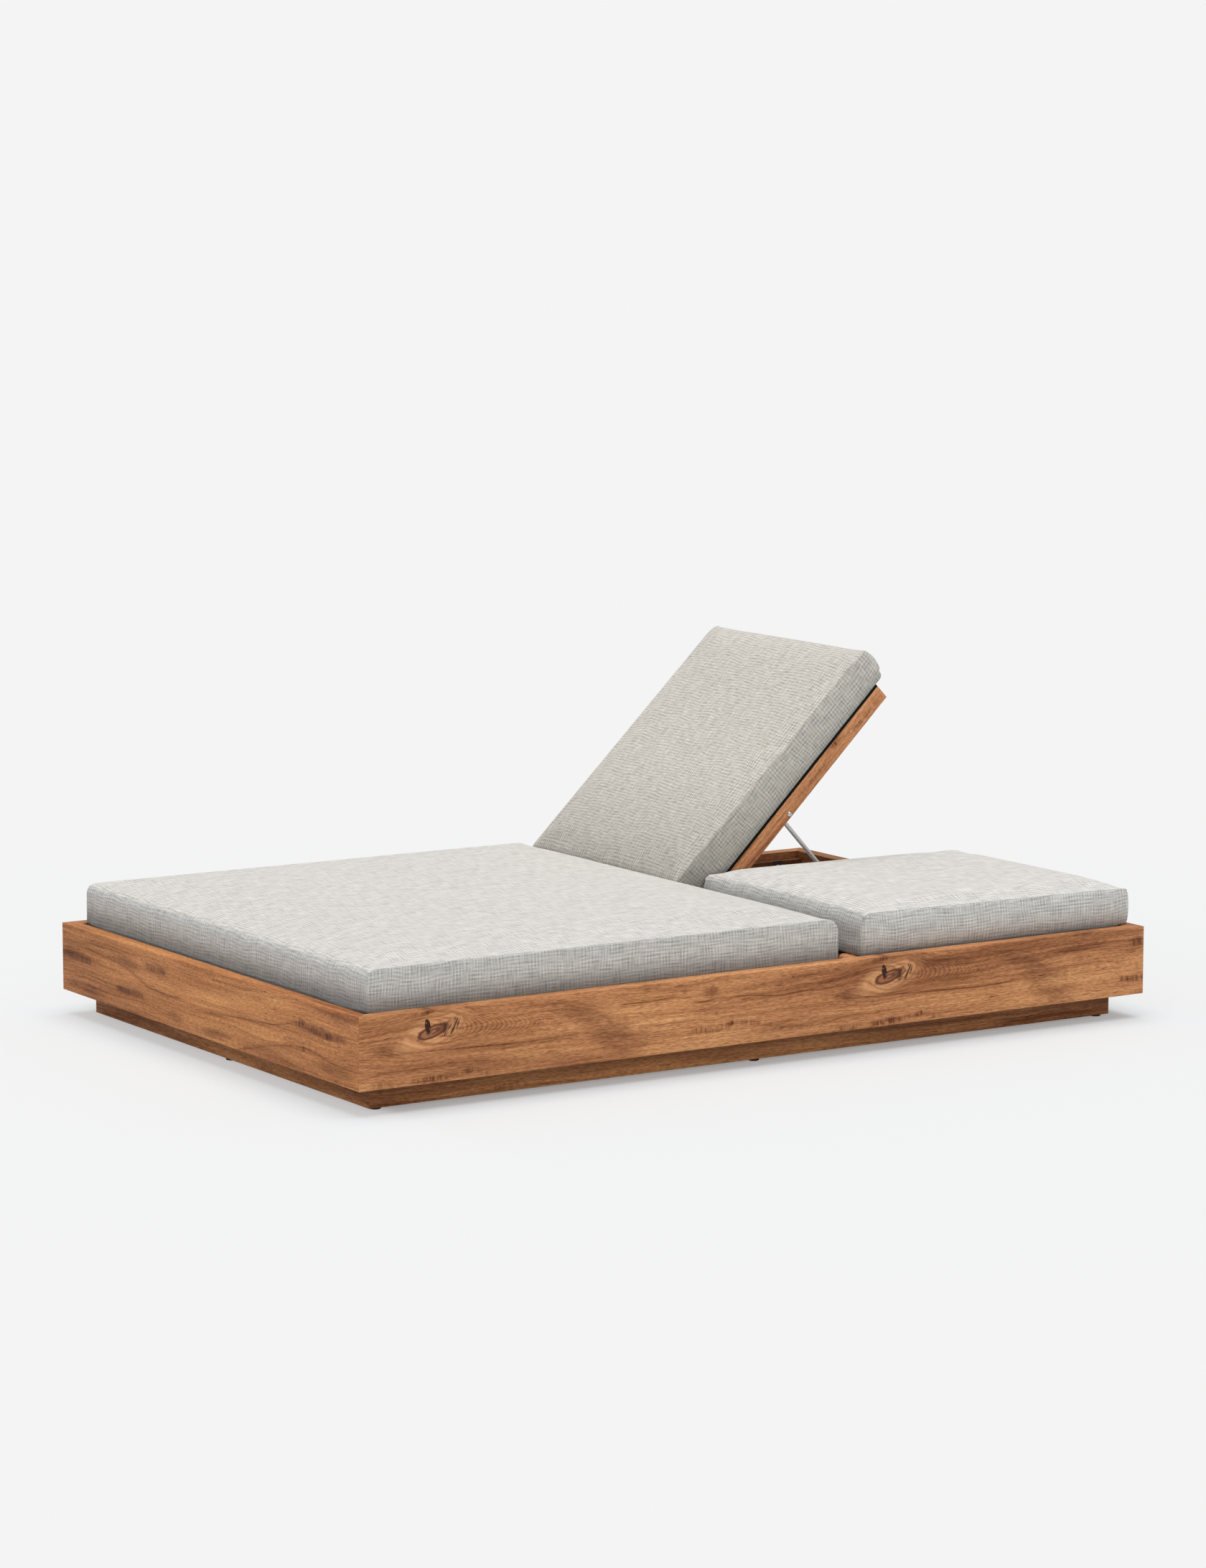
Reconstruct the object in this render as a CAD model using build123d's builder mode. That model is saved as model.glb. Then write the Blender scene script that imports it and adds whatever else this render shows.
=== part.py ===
"""Double chaise lounger: a platform of teak boards on a set-back plinth, with one wide
seat cushion and two backrests that rise on their own, each held up by a bent steel prop.

The origin is on the floor under the middle of the platform. +Z is up and +Y points to
the head end. Left (+X) and right (-X) are those of a person lying on the lounger. In
the rest position the left backrest lies flat and the right one stands in its top notch.
"""

import os
from math import atan2, cos, degrees, hypot, radians, sin, tan

from build123d import *

# Platform, outer sizes
LENGTH = 2000.0
WIDTH = 1334.0
RIM_TOP = 205.0
RIM_HEIGHT = 151.0
RIM_THICK = 34.0
RIM_ROUND = 2.0
CORNER_EASE = 2.0

# Plinth, set back from the rim, and the glides that it stands on
PLINTH_SETBACK = 54.0
PLINTH_THICK = 28.0
PLINTH_TOP = 120.0
PLINTH_EASE = 1.2
GLIDE_HEIGHT = 5.0
GLIDE_R = 12.0
GLIDE_STEM_R = 4.0
GLIDE_STEM = 15.0
GLIDE_IN_X = 18.0
GLIDE_IN_Y = 24.0

# Ledgers fill the space between rim and plinth and reach up inside the rim
LEDGER_BOTTOM = 60.0
LEDGER_TOP = 187.0
HEAD_LEDGER_TOP = 160.0

# Seat deck
SEAT_TOP = 196.0
SLAT_THICK = 20.0
SLAT_EASE = 1.5
SEAT_SLATS = 13
SEAT_SLAT_WIDE = 70.0
CENTRE_BEAM_WIDE = 44.0
HINGE_BEAM_FOOT = 200.0
HINGE_BEAM_WIDE = 36.0
CROSS_BEARER_WIDE = 30.0
CROSS_BEARER_HIGH = 40.0
CROSS_BEARERS = {"seat": -380.0, "middle": 0.0, "prop": 715.0, "head": 850.0}
CORNER_BLOCK = 45.0

# Backrests: the hinge line, and the frame measured up the back (s) and out of it (n)
HINGE_Y = 256.0
HINGE_Z = 186.0
RAISED = 44.2
BACK_INNER = 5.0
BACK_OUTER = 608.0
RAIL_WIDE = 44.0
RAIL_TOP_N = 14.0
RAIL_DEEP = 37.0
RAIL_END_S = 705.0
BAR_WIDE = 44.0
FOOT_BAR_S = 20.0
BACK_SLATS = 7
BACK_SLAT_WIDE = 68.0
BACK_SLAT_THICK = 18.0
HOUSING = 8.0
LINER_THICK = 5.5
LINER_START = 10.0

# Hinge bolts and their brackets
BOLT_R = 4.0
RUNNING = 0.05
SIDE_PLAY = 0.4
HEAD_R = 6.0
HEAD_HIGH = 3.8
SOCKET_R = 2.5
SOCKET_DEEP = 2.2
NUT_HIGH = 6.5
NUT_FLATS = 13.0
PLATE = 4.0
EAR_R = 12.0
BRACKET_WIDE = 34.0
BRACKET_BOTTOM = 142.0
SCREW_R = 2.2
SCREW_HEAD_R = 4.2
SCREW_HEAD_HIGH = 2.2
SCREW_LONG = 18.0

# Props: a rod bent to a U, hung from two bolts and resting across two notched racks
PROP_S = 337.0
PROP_N = -15.0
PROP_TILT = 2.87
ROD_R = 5.0
ROD_BEND = 20.0
LEG_IN = 62.0
EYE_R = 9.5
EYE_WIDE = 9.6
SPACER_R = 7.0
RACK_WIDE = 25.0
RACK_IN = 90.0
RACK_START = 690.0
RACK_GAP = 0.6
NOTCH_DEEP = 11.0
NOTCH_WIDE = 13.0
NOTCH_ANGLES = (20.0, 28.0, 36.0, 44.2)

# Steel angles that the outer rails rest on when a back lies flat
REST_GAP = 0.4
REST_PLATE = 2.5
REST_WIDE = 22.0
REST_LEG = 38.0
REST_Y = 884.0

# Cushions
CUSHION_SIDE = 84.5
BACK_CROWN = 10.0
SEAT_CROWN = 12.5
SEAT_CUSHION_X = 631.0
SEAT_CUSHION_Y = (-960.0, 202.0)
SEAT_CUSHION_SIDE = 96.5
BACK_CUSHION_X = (3.0, 630.5)
BACK_CUSHION_S = (3.0, 741.0)

# Worked out from the sizes above
HALF_L = LENGTH / 2
HALF_W = WIDTH / 2
RIM_BOTTOM = RIM_TOP - RIM_HEIGHT
INNER_X = HALF_W - RIM_THICK
INNER_Y = HALF_L - RIM_THICK
PLINTH_X = HALF_W - PLINTH_SETBACK
PLINTH_Y = HALF_L - PLINTH_SETBACK
PLINTH_IN_X = PLINTH_X - PLINTH_THICK
PLINTH_IN_Y = PLINTH_Y - PLINTH_THICK
DECK_LOW = SEAT_TOP - SLAT_THICK
HINGE_BEAM_HEAD = HINGE_BEAM_FOOT + HINGE_BEAM_WIDE
RAIL_LOW_N = RAIL_TOP_N - RAIL_DEEP
FLAT_LOW = HINGE_Z + RAIL_LOW_N - REST_GAP
PROP_REACH = hypot(PROP_S, PROP_N)
PROP_SAG = atan2(PROP_N, PROP_S)
SIDES = {"left": 1, "right": -1}
CENTRE_HALF = CENTRE_BEAM_WIDE / 2

# Board directions: x of each plane runs along the board and its y points outwards
OUTWARDS = {
    "left": Vector(0, -1, 0),
    "right": Vector(0, 1, 0),
    "foot": Vector(-1, 0, 0),
    "head": Vector(1, 0, 0),
}


def tilted(angle, y, z):
    """A plane through (0, y, z) with x across the lounger, turned up about it."""
    up = radians(angle)
    return Plane(origin=(0, y, z), x_dir=(1, 0, 0), z_dir=(0, -sin(up), cos(up)))


BACK_ANGLE = {"left": 0.0, "right": RAISED}
BACK = {side: tilted(angle, HINGE_Y, HINGE_Z) for side, angle in BACK_ANGLE.items()}


def prop_pivot(side):
    """Where the prop's bolt line crosses x = 0."""
    return BACK[side].origin + BACK[side].y_dir * PROP_S + BACK[side].z_dir * PROP_N


def prop_angle(angle):
    """Slope of the prop's legs for a back raised by angle: its foot keeps to one line
    through the hinge, because the legs are as long as the bolt is far from the hinge."""
    return -(angle + degrees(PROP_SAG)) - 2 * PROP_TILT


def prop_plane(side):
    """Plane of the bent rod: y runs down its legs from the bolts to the foot."""
    pivot = prop_pivot(side)
    return tilted(prop_angle(BACK_ANGLE[side]), pivot.Y, pivot.Z)


def foot_y(angle):
    """Where along the platform the prop's foot stands for a back raised by angle."""
    half = radians(angle + PROP_TILT) + PROP_SAG
    return HINGE_Y + 2 * PROP_REACH * cos(half) * cos(radians(PROP_TILT))


def foot_z(y):
    """Height of the prop's foot over a place along the platform."""
    return HINGE_Z - tan(radians(PROP_TILT)) * (y - HINGE_Y)


def across(plane, x):
    """The plane square to the hinge line at x: its x runs up the back, its y out of it."""
    return Plane(origin=plane.origin + plane.x_dir * x, x_dir=plane.y_dir, z_dir=plane.x_dir)


def span(side, low, high):
    """Limits across the lounger for a piece from low to high outwards of the middle."""
    ends = sorted((SIDES[side] * low, SIDES[side] * high))
    return ends[0], ends[1]


def mitred_board(label, direction, half_long, outer, thick, bottom, top, ease):
    """A board of the rim or plinth, mitred at both ends, with its sharp corner eased."""
    plane = Plane(origin=(0, 0, bottom), x_dir=direction, z_dir=(0, 0, 1))
    with BuildPart() as board:
        with BuildSketch(plane):
            with BuildLine():
                Polyline(
                    (half_long - ease, outer),
                    (half_long - ease / 2, outer - ease / 2),
                    (half_long - thick, outer - thick),
                    (thick - half_long, outer - thick),
                    (ease / 2 - half_long, outer - ease / 2),
                    (ease - half_long, outer),
                    close=True,
                )
            make_face()
        extrude(amount=top - bottom)
    board.part.label = label
    return board.part


def rim_board(name):
    """One of the four tall boards round the platform, its long edges slightly rounded."""
    half_long, outer = (HALF_L, HALF_W) if name in SIDES else (HALF_W, HALF_L)
    body = mitred_board("blank", OUTWARDS[name], half_long, outer, RIM_THICK, RIM_BOTTOM, RIM_TOP,
                        CORNER_EASE)
    along = Axis.Y if name in SIDES else Axis.X
    with BuildPart() as board:
        add(body)
        fillet(board.edges().filter_by(along).group_by(Axis.Z)[-1], RIM_ROUND)
        fillet(board.edges().filter_by(along).group_by(Axis.Z)[0], RIM_ROUND)
    board.part.label = f"rim_{name}"
    return board.part


def glide_places():
    """Centres of the glides: four corners and the middle of each side."""
    corner_x = PLINTH_X - GLIDE_IN_X
    corner_y = PLINTH_Y - GLIDE_IN_Y
    side_x = PLINTH_X - PLINTH_THICK / 2
    end_y = PLINTH_Y - PLINTH_THICK / 2
    corners = [(sx * corner_x, sy * corner_y) for sx in (-1, 1) for sy in (-1, 1)]
    return corners + [(-side_x, 0), (side_x, 0), (0, -end_y), (0, end_y)]


def plinth_board(name):
    """One of the four set-back boards that the platform stands on, drilled for glides."""
    half_long, outer = (PLINTH_Y, PLINTH_X) if name in SIDES else (PLINTH_X, PLINTH_Y)
    body = mitred_board("blank", OUTWARDS[name], half_long, outer, PLINTH_THICK, GLIDE_HEIGHT,
                        PLINTH_TOP, PLINTH_EASE)
    with BuildPart() as board:
        add(body)
        with BuildSketch(Plane.XY.offset(GLIDE_HEIGHT)):
            with Locations(*glide_places()):
                Circle(GLIDE_STEM_R)
        extrude(amount=GLIDE_STEM, mode=Mode.SUBTRACT)
    board.part.label = f"plinth_{name}"
    return board.part


def glides():
    """Round black glides with a stem pressed into the plinth."""
    with BuildPart() as feet:
        with BuildSketch():
            with Locations(*glide_places()):
                Circle(GLIDE_R)
        extrude(amount=GLIDE_HEIGHT)
        fillet(feet.edges().filter_by(GeomType.CIRCLE).group_by(Axis.Z)[0], GLIDE_HEIGHT * 0.4)
        with BuildSketch(Plane.XY.offset(GLIDE_HEIGHT)):
            with Locations(*glide_places()):
                Circle(GLIDE_STEM_R)
        extrude(amount=GLIDE_STEM)
    feet.part.label = "glides"
    return feet.part


def timber(label, x, y, z):
    """A squared piece of wood between its limits along each axis."""
    with BuildPart() as piece:
        with BuildSketch(Plane.XY.offset(z[0])):
            with Locations(((x[0] + x[1]) / 2, (y[0] + y[1]) / 2)):
                Rectangle(x[1] - x[0], y[1] - y[0])
        extrude(amount=z[1] - z[0])
    piece.part.label = label
    return piece.part


def rest_screw_places(side):
    """Screw seats on a rest angle, facing the middle of the lounger."""
    face_x = SIDES[side] * (PLINTH_X - REST_PLATE)
    inwards = Vector(-SIDES[side], 0, 0)
    middle_y = REST_Y + REST_WIDE / 2
    heights = (FLAT_LOW + REST_PLATE, LEDGER_TOP - REST_PLATE)
    middle_z = sum(heights) / 2
    return [Plane(origin=(face_x, middle_y, middle_z), x_dir=(0, 1, 0), z_dir=inwards)]


def pivot_ears(side):
    """Both ears of a back's hinge: the face next to the rail, and its way off the rail."""
    inner = BACK_INNER + RAIL_WIDE + SIDE_PLAY
    outer = BACK_OUTER - RAIL_WIDE - SIDE_PLAY
    sign = SIDES[side]
    return [(sign * inner, sign), (sign * outer, -sign)]


def pivot_screw_places(side):
    """Screw seats on the hinge brackets, facing the head end."""
    places = []
    for face_x, way in pivot_ears(side):
        x = face_x + way * (PLATE + (BRACKET_WIDE - PLATE) / 2)
        for z in (BRACKET_BOTTOM + 10, HINGE_Z - 6):
            places.append(Plane(origin=(x, HINGE_BEAM_HEAD + PLATE, z), x_dir=(1, 0, 0), z_dir=(0, 1, 0)))
    return places


def screw_places():
    """Every screw seat that shows: on the rest angles and the hinge brackets."""
    places = []
    for side in SIDES:
        places += rest_screw_places(side)
        places += pivot_screw_places(side)
    return places


def screw_holes(body, label):
    """The same piece with a hole for each screw that reaches it."""
    with BuildPart() as drilled:
        add(body)
        for seat in screw_places():
            with BuildSketch(seat):
                Circle(SCREW_R)
            extrude(amount=-SCREW_LONG, mode=Mode.SUBTRACT)
    drilled.part.label = label
    return drilled.part


def ledger(name):
    """A batten on the inside of a rim board that ties the plinth to the rim. The one at
    the head stays below the rails of the flat backs."""
    z = (LEDGER_BOTTOM, LEDGER_TOP)
    if name in SIDES:
        blank = timber("blank", span(name, PLINTH_X, INNER_X), (-INNER_Y, INNER_Y), z)
        return screw_holes(blank, f"ledger_{name}")
    if name == "head":
        return timber("ledger_head", (-PLINTH_X, PLINTH_X), (PLINTH_Y, INNER_Y),
                      (LEDGER_BOTTOM, HEAD_LEDGER_TOP))
    return timber("ledger_foot", (-PLINTH_X, PLINTH_X), (-INNER_Y, -PLINTH_Y), z)


def corner_blocks():
    """Four blocks glued into the corners of the plinth."""
    x = PLINTH_IN_X - CORNER_BLOCK / 2
    y = PLINTH_IN_Y - CORNER_BLOCK / 2
    with BuildPart() as blocks:
        with BuildSketch(Plane.XY.offset(GLIDE_HEIGHT * 3)):
            with Locations((x, y), (-x, y), (x, -y), (-x, -y)):
                Rectangle(CORNER_BLOCK, CORNER_BLOCK)
        extrude(amount=PLINTH_TOP - GLIDE_HEIGHT * 4)
    blocks.part.label = "corner_blocks"
    return blocks.part


def seat_slats():
    """The slats under the seat cushion, with eased top edges."""
    low, high = -PLINTH_Y, HINGE_BEAM_FOOT
    gap = (high - low - SEAT_SLATS * SEAT_SLAT_WIDE) / (SEAT_SLATS + 1)
    pitch = SEAT_SLAT_WIDE + gap
    with BuildPart() as slats:
        with BuildSketch(Plane.XY.offset(DECK_LOW)):
            with Locations((0, (low + high) / 2)):
                with GridLocations(1, pitch, 1, SEAT_SLATS):
                    Rectangle(2 * PLINTH_X - 1, SEAT_SLAT_WIDE)
        extrude(amount=SLAT_THICK)
        chamfer(slats.edges().filter_by(Axis.X).group_by(Axis.Z)[-1], SLAT_EASE)
    slats.part.label = "seat_slats"
    return slats.part


def hinge_beam():
    """The beam across the platform that both backs are hinged to."""
    blank = timber("blank", (-PLINTH_X, PLINTH_X), (HINGE_BEAM_FOOT, HINGE_BEAM_HEAD),
                   (PLINTH_TOP, SEAT_TOP))
    return screw_holes(blank, "hinge_beam")


def hinge_brackets():
    """Four steel angles on the hinge beam, each with an ear that holds a hinge bolt."""
    with BuildPart() as brackets:
        for face_x, way in pivot_ears("left") + pivot_ears("right"):
            leaf_x = face_x + way * BRACKET_WIDE / 2
            leaf_z = (BRACKET_BOTTOM + HINGE_Z + EAR_R) / 2
            with BuildSketch(Plane.XZ.offset(-HINGE_BEAM_HEAD)):
                with Locations((leaf_x, leaf_z)):
                    Rectangle(BRACKET_WIDE, HINGE_Z + EAR_R - BRACKET_BOTTOM)
            extrude(amount=-PLATE)
            with BuildSketch(across(BACK["left"], face_x)):
                with BuildLine():
                    start = Line((HINGE_BEAM_HEAD - HINGE_Y, EAR_R), (0, EAR_R))
                    ThreePointArc(start @ 1, (EAR_R, 0), (0, -EAR_R))
                    Polyline((0, -EAR_R), (HINGE_BEAM_HEAD - HINGE_Y, -EAR_R), start @ 0)
                make_face()
            extrude(amount=way * PLATE)
            with BuildSketch(across(BACK["left"], face_x)):
                Circle(BOLT_R)
            extrude(amount=way * PLATE, mode=Mode.SUBTRACT)
        for seat in pivot_screw_places("left") + pivot_screw_places("right"):
            with BuildSketch(seat):
                Circle(SCREW_R)
            extrude(amount=-PLATE, mode=Mode.SUBTRACT)
    brackets.part.label = "hinge_brackets"
    return brackets.part


def rest_angle(side):
    """The steel angle on the side ledger that the outer rail comes down onto."""
    top = LEDGER_TOP + 1
    wall = span(side, PLINTH_X - REST_PLATE, PLINTH_X)
    leg = span(side, PLINTH_X - REST_LEG, PLINTH_X)
    with BuildPart() as angle:
        with BuildSketch(Plane.XY.offset(FLAT_LOW - REST_PLATE)):
            with Locations((sum(leg) / 2, REST_Y + REST_WIDE / 2)):
                Rectangle(REST_LEG, REST_WIDE)
        extrude(amount=REST_PLATE)
        with BuildSketch(Plane.XY.offset(FLAT_LOW)):
            with Locations((sum(wall) / 2, REST_Y + REST_WIDE / 2)):
                Rectangle(REST_PLATE, REST_WIDE)
        extrude(amount=top - FLAT_LOW)
        for seat in rest_screw_places(side):
            with BuildSketch(seat):
                Circle(SCREW_R)
            extrude(amount=-REST_PLATE, mode=Mode.SUBTRACT)
    angle.part.label = f"rest_angle_{side}"
    return angle.part


def turned(seat, points):
    """A closed half outline, given as (radius, height) over a seat, revolved about it."""
    profile = Plane(origin=seat.origin, x_dir=seat.x_dir, z_dir=-seat.y_dir)
    with BuildPart() as piece:
        with BuildSketch(profile):
            with BuildLine():
                Polyline(*points, close=True)
            make_face()
        revolve(axis=Axis(seat.origin, seat.z_dir))
    return piece.part


def frame_screws():
    """Pan-head screws of the rest angles and hinge brackets."""
    outline = (
        (0, -SCREW_LONG),
        (SCREW_R, -SCREW_LONG),
        (SCREW_R, 0),
        (SCREW_HEAD_R, 0),
        (SCREW_HEAD_R - 0.6, SCREW_HEAD_HIGH - 0.6),
        (SCREW_HEAD_R / 2, SCREW_HEAD_HIGH),
        (0, SCREW_HEAD_HIGH),
    )
    with BuildPart() as screws:
        for seat in screw_places():
            add(turned(seat, outline))
    screws.part.label = "frame_screws"
    return screws.part


def button_bolts(label, seats, shank):
    """Button-head bolts with a hexagon socket. Each seat faces out of the head."""
    outline = (
        (0, -shank),
        (BOLT_R - 0.6, -shank),
        (BOLT_R, 0.6 - shank),
        (BOLT_R, 0),
        (HEAD_R, 0),
        (HEAD_R - 0.3, HEAD_HIGH * 0.45),
        (HEAD_R - 1.4, HEAD_HIGH * 0.82),
        (HEAD_R - 2.8, HEAD_HIGH),
        (0, HEAD_HIGH),
    )
    with BuildPart() as bolts:
        for seat in seats:
            add(turned(seat, outline))
            with BuildSketch(seat.offset(HEAD_HIGH)):
                RegularPolygon(SOCKET_R, 6)
            extrude(amount=-SOCKET_DEEP, mode=Mode.SUBTRACT)
    bolts.part.label = label
    return bolts.part


def rail_faces(side):
    """The outer face of each rail of a back, and the way out of it."""
    sign = SIDES[side]
    return [(sign * BACK_INNER, -sign), (sign * BACK_OUTER, sign)]


def facing(origin, plane, way):
    """A plane at origin whose z points across the lounger."""
    return Plane(origin=origin, x_dir=plane.y_dir, z_dir=plane.x_dir * way)


def hinge_bolts():
    """The four bolts that the backs turn on, fixed in the ears of the brackets."""
    plane = BACK["left"]
    seats = []
    for face_x, way in rail_faces("left") + rail_faces("right"):
        origin = plane.origin + plane.x_dir * (face_x + way * SIDE_PLAY / 2)
        seats.append(facing(origin, plane, way))
    shank = RAIL_WIDE + 1.5 * SIDE_PLAY + PLATE + NUT_HIGH + 2
    return button_bolts("hinge_bolts", seats, shank)


def hex_nuts(label, places):
    """Nuts on bolts: each place is where the nut starts, facing along the bolt."""
    with BuildPart() as nuts:
        for place in places:
            with BuildSketch(place):
                RegularPolygon(NUT_FLATS / 2, 6, major_radius=False)
                Circle(BOLT_R, mode=Mode.SUBTRACT)
            extrude(amount=NUT_HIGH)
    nuts.part.label = label
    return nuts.part


def hinge_nuts():
    """The nuts behind the ears of the hinge brackets."""
    plane = BACK["left"]
    places = []
    for face_x, way in pivot_ears("left") + pivot_ears("right"):
        places.append(facing(plane.origin + plane.x_dir * (face_x + way * PLATE), plane, way))
    return hex_nuts("hinge_nuts", places)


def leg_places(side):
    """Middle of each eye of the prop across the lounger, and the way in from its rail."""
    sign = SIDES[side]
    far = BACK_INNER + BACK_OUTER - LEG_IN
    return [(sign * LEG_IN, sign), (sign * far, -sign)]


def prop_bolts(side):
    """The two bolts through the rails that the prop hangs from."""
    plane = BACK[side]
    seats = [
        facing(prop_pivot(side) + plane.x_dir * face_x, plane, way)
        for face_x, way in rail_faces(side)
    ]
    shank = LEG_IN - BACK_INNER + EYE_WIDE / 2 + SIDE_PLAY + NUT_HIGH + 2
    return button_bolts(f"{side}_prop_bolts", seats, shank)


def prop_nuts(side):
    """The nuts that keep the prop's eyes on its bolts."""
    places = []
    for x, way in leg_places(side):
        origin = prop_pivot(side) + BACK[side].x_dir * (x + way * (EYE_WIDE / 2 + SIDE_PLAY))
        places.append(facing(origin, BACK[side], way))
    return hex_nuts(f"{side}_prop_nuts", places)


def prop_spacers(side):
    """Sleeves that hold the prop's eyes off the rails."""
    with BuildPart() as sleeves:
        for x, way in leg_places(side):
            start = x - way * (EYE_WIDE / 2 + SIDE_PLAY)
            long = LEG_IN - EYE_WIDE / 2 - SIDE_PLAY - BACK_INNER - RAIL_WIDE
            with BuildSketch(facing(prop_pivot(side) + BACK[side].x_dir * start, BACK[side], -way)):
                Circle(SPACER_R)
                Circle(BOLT_R, mode=Mode.SUBTRACT)
            extrude(amount=long)
    sleeves.part.label = f"{side}_prop_spacers"
    return sleeves.part


def prop(side):
    """The steel rod bent to a U, with an eye on each leg."""
    plane = prop_plane(side)
    legs = leg_places(side)
    first, last = legs[0][0], legs[1][0]
    start = EYE_R - 1.5
    with BuildPart() as rod:
        with BuildLine(plane) as path:
            FilletPolyline((first, start), (first, PROP_REACH), (last, PROP_REACH), (last, start),
                           radius=ROD_BEND)
        with BuildSketch(Plane(origin=path.line @ 0, z_dir=path.line % 0)):
            Circle(ROD_R)
        sweep()
        for x in (first, last):
            with BuildSketch(across(plane, x - EYE_WIDE / 2)):
                Circle(EYE_R)
            extrude(amount=EYE_WIDE)
            with BuildSketch(across(plane, x - EYE_WIDE / 2)):
                Circle(BOLT_R + RUNNING)
            extrude(amount=EYE_WIDE, mode=Mode.SUBTRACT)
    rod.part.label = f"{side}_prop"
    return rod.part


def rack(side, which):
    """A notched rack that the prop's foot stands on. Its teeth end just under the line
    that the foot travels on, so the foot clears them all the way."""
    inner = RACK_IN if which == "inner" else BACK_INNER + BACK_OUTER - RACK_IN - RACK_WIDE
    x = span(side, inner, inner + RACK_WIDE)
    drop = (ROD_R + RACK_GAP) / cos(radians(PROP_TILT))
    end = PLINTH_Y
    points = [(RACK_START, PLINTH_TOP), (RACK_START, foot_z(RACK_START) - drop)]
    for angle in reversed(NOTCH_ANGLES):
        y = foot_y(angle)
        for tooth_y, depth in (
            (y - NOTCH_WIDE / 2, 0),
            (y - NOTCH_WIDE / 4, NOTCH_DEEP),
            (y + NOTCH_WIDE / 3, NOTCH_DEEP),
            (y + NOTCH_WIDE / 2, 0),
        ):
            points.append((tooth_y, foot_z(tooth_y) - drop - depth))
    points += [(end, foot_z(end) - drop), (end, PLINTH_TOP)]
    with BuildPart() as piece:
        with BuildSketch(Plane(origin=(x[0], 0, 0), x_dir=(0, 1, 0), z_dir=(1, 0, 0))):
            with BuildLine():
                Polyline(*points, close=True)
            make_face()
        extrude(amount=RACK_WIDE)
    piece.part.label = f"{side}_{which}_rack"
    return piece.part


def slat_starts():
    """Where each back slat starts, measured up the back."""
    low = FOOT_BAR_S + BAR_WIDE
    high = RAIL_END_S - BAR_WIDE
    gap = (high - low - BACK_SLATS * BACK_SLAT_WIDE) / (BACK_SLATS + 1)
    return [low + gap + i * (BACK_SLAT_WIDE + gap) for i in range(BACK_SLATS)]


def rail(side, which):
    """A side rail of a back: rounded at the hinge, square at the top, bored for its bolts
    and housed for the slats."""
    plane = BACK[side]
    if which == "inner":
        x = span(side, BACK_INNER, BACK_INNER + RAIL_WIDE)
        inside = span(side, BACK_INNER + RAIL_WIDE - HOUSING, BACK_INNER + RAIL_WIDE)
    else:
        x = span(side, BACK_OUTER - RAIL_WIDE, BACK_OUTER)
        inside = span(side, BACK_OUTER - RAIL_WIDE, BACK_OUTER - RAIL_WIDE + HOUSING)
    with BuildPart() as piece:
        with BuildSketch(across(plane, x[0])):
            with BuildLine():
                top = Line((RAIL_END_S, RAIL_TOP_N), (0, RAIL_TOP_N))
                ThreePointArc(top @ 1, (-RAIL_TOP_N, 0), (0, -RAIL_TOP_N))
                Polyline((0, -RAIL_TOP_N), (-RAIL_LOW_N, RAIL_LOW_N), (RAIL_END_S, RAIL_LOW_N), top @ 0)
            make_face()
        extrude(amount=RAIL_WIDE)
        with BuildSketch(across(plane, x[0])):
            Circle(BOLT_R + RUNNING)
            with Locations((PROP_S, PROP_N)):
                Circle(BOLT_R)
        extrude(amount=RAIL_WIDE, mode=Mode.SUBTRACT)
        for start in slat_starts():
            with BuildSketch(across(plane, inside[0])):
                with Locations((start + BACK_SLAT_WIDE / 2, RAIL_TOP_N - BACK_SLAT_THICK / 2)):
                    Rectangle(BACK_SLAT_WIDE, BACK_SLAT_THICK)
            extrude(amount=HOUSING, mode=Mode.SUBTRACT)
    piece.part.label = f"{side}_{which}_rail"
    return piece.part


def back_bar(side, which):
    """A cross bar between the rails, at the hinge end or the top of a back."""
    start = FOOT_BAR_S if which == "foot" else RAIL_END_S - BAR_WIDE
    x = span(side, BACK_INNER + RAIL_WIDE, BACK_OUTER - RAIL_WIDE)
    with BuildPart() as bar:
        with BuildSketch(across(BACK[side], x[0])):
            with Locations((start + BAR_WIDE / 2, RAIL_TOP_N - RAIL_DEEP / 2)):
                Rectangle(BAR_WIDE, RAIL_DEEP)
        extrude(amount=x[1] - x[0])
    bar.part.label = f"{side}_back_{which}_bar"
    return bar.part


def back_slats(side):
    """The slats of a back, let into its rails."""
    x = span(side, BACK_INNER + RAIL_WIDE - HOUSING, BACK_OUTER - RAIL_WIDE + HOUSING)
    with BuildPart() as slats:
        for start in slat_starts():
            with BuildSketch(across(BACK[side], x[0])):
                with Locations((start + BACK_SLAT_WIDE / 2, RAIL_TOP_N - BACK_SLAT_THICK / 2)):
                    Rectangle(BACK_SLAT_WIDE, BACK_SLAT_THICK)
            extrude(amount=x[1] - x[0])
    slats.part.label = f"{side}_back_slats"
    return slats.part


def liner(side):
    """The thin black pad between a back and its cushion."""
    x = span(side, BACK_INNER, BACK_OUTER)
    with BuildPart() as pad:
        with BuildSketch(across(BACK[side], x[0])):
            with Locations(((LINER_START + RAIL_END_S) / 2, RAIL_TOP_N + LINER_THICK / 2)):
                Rectangle(RAIL_END_S - LINER_START, LINER_THICK)
        extrude(amount=x[1] - x[0])
    pad.part.label = f"{side}_back_liner"
    return pad.part


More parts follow.
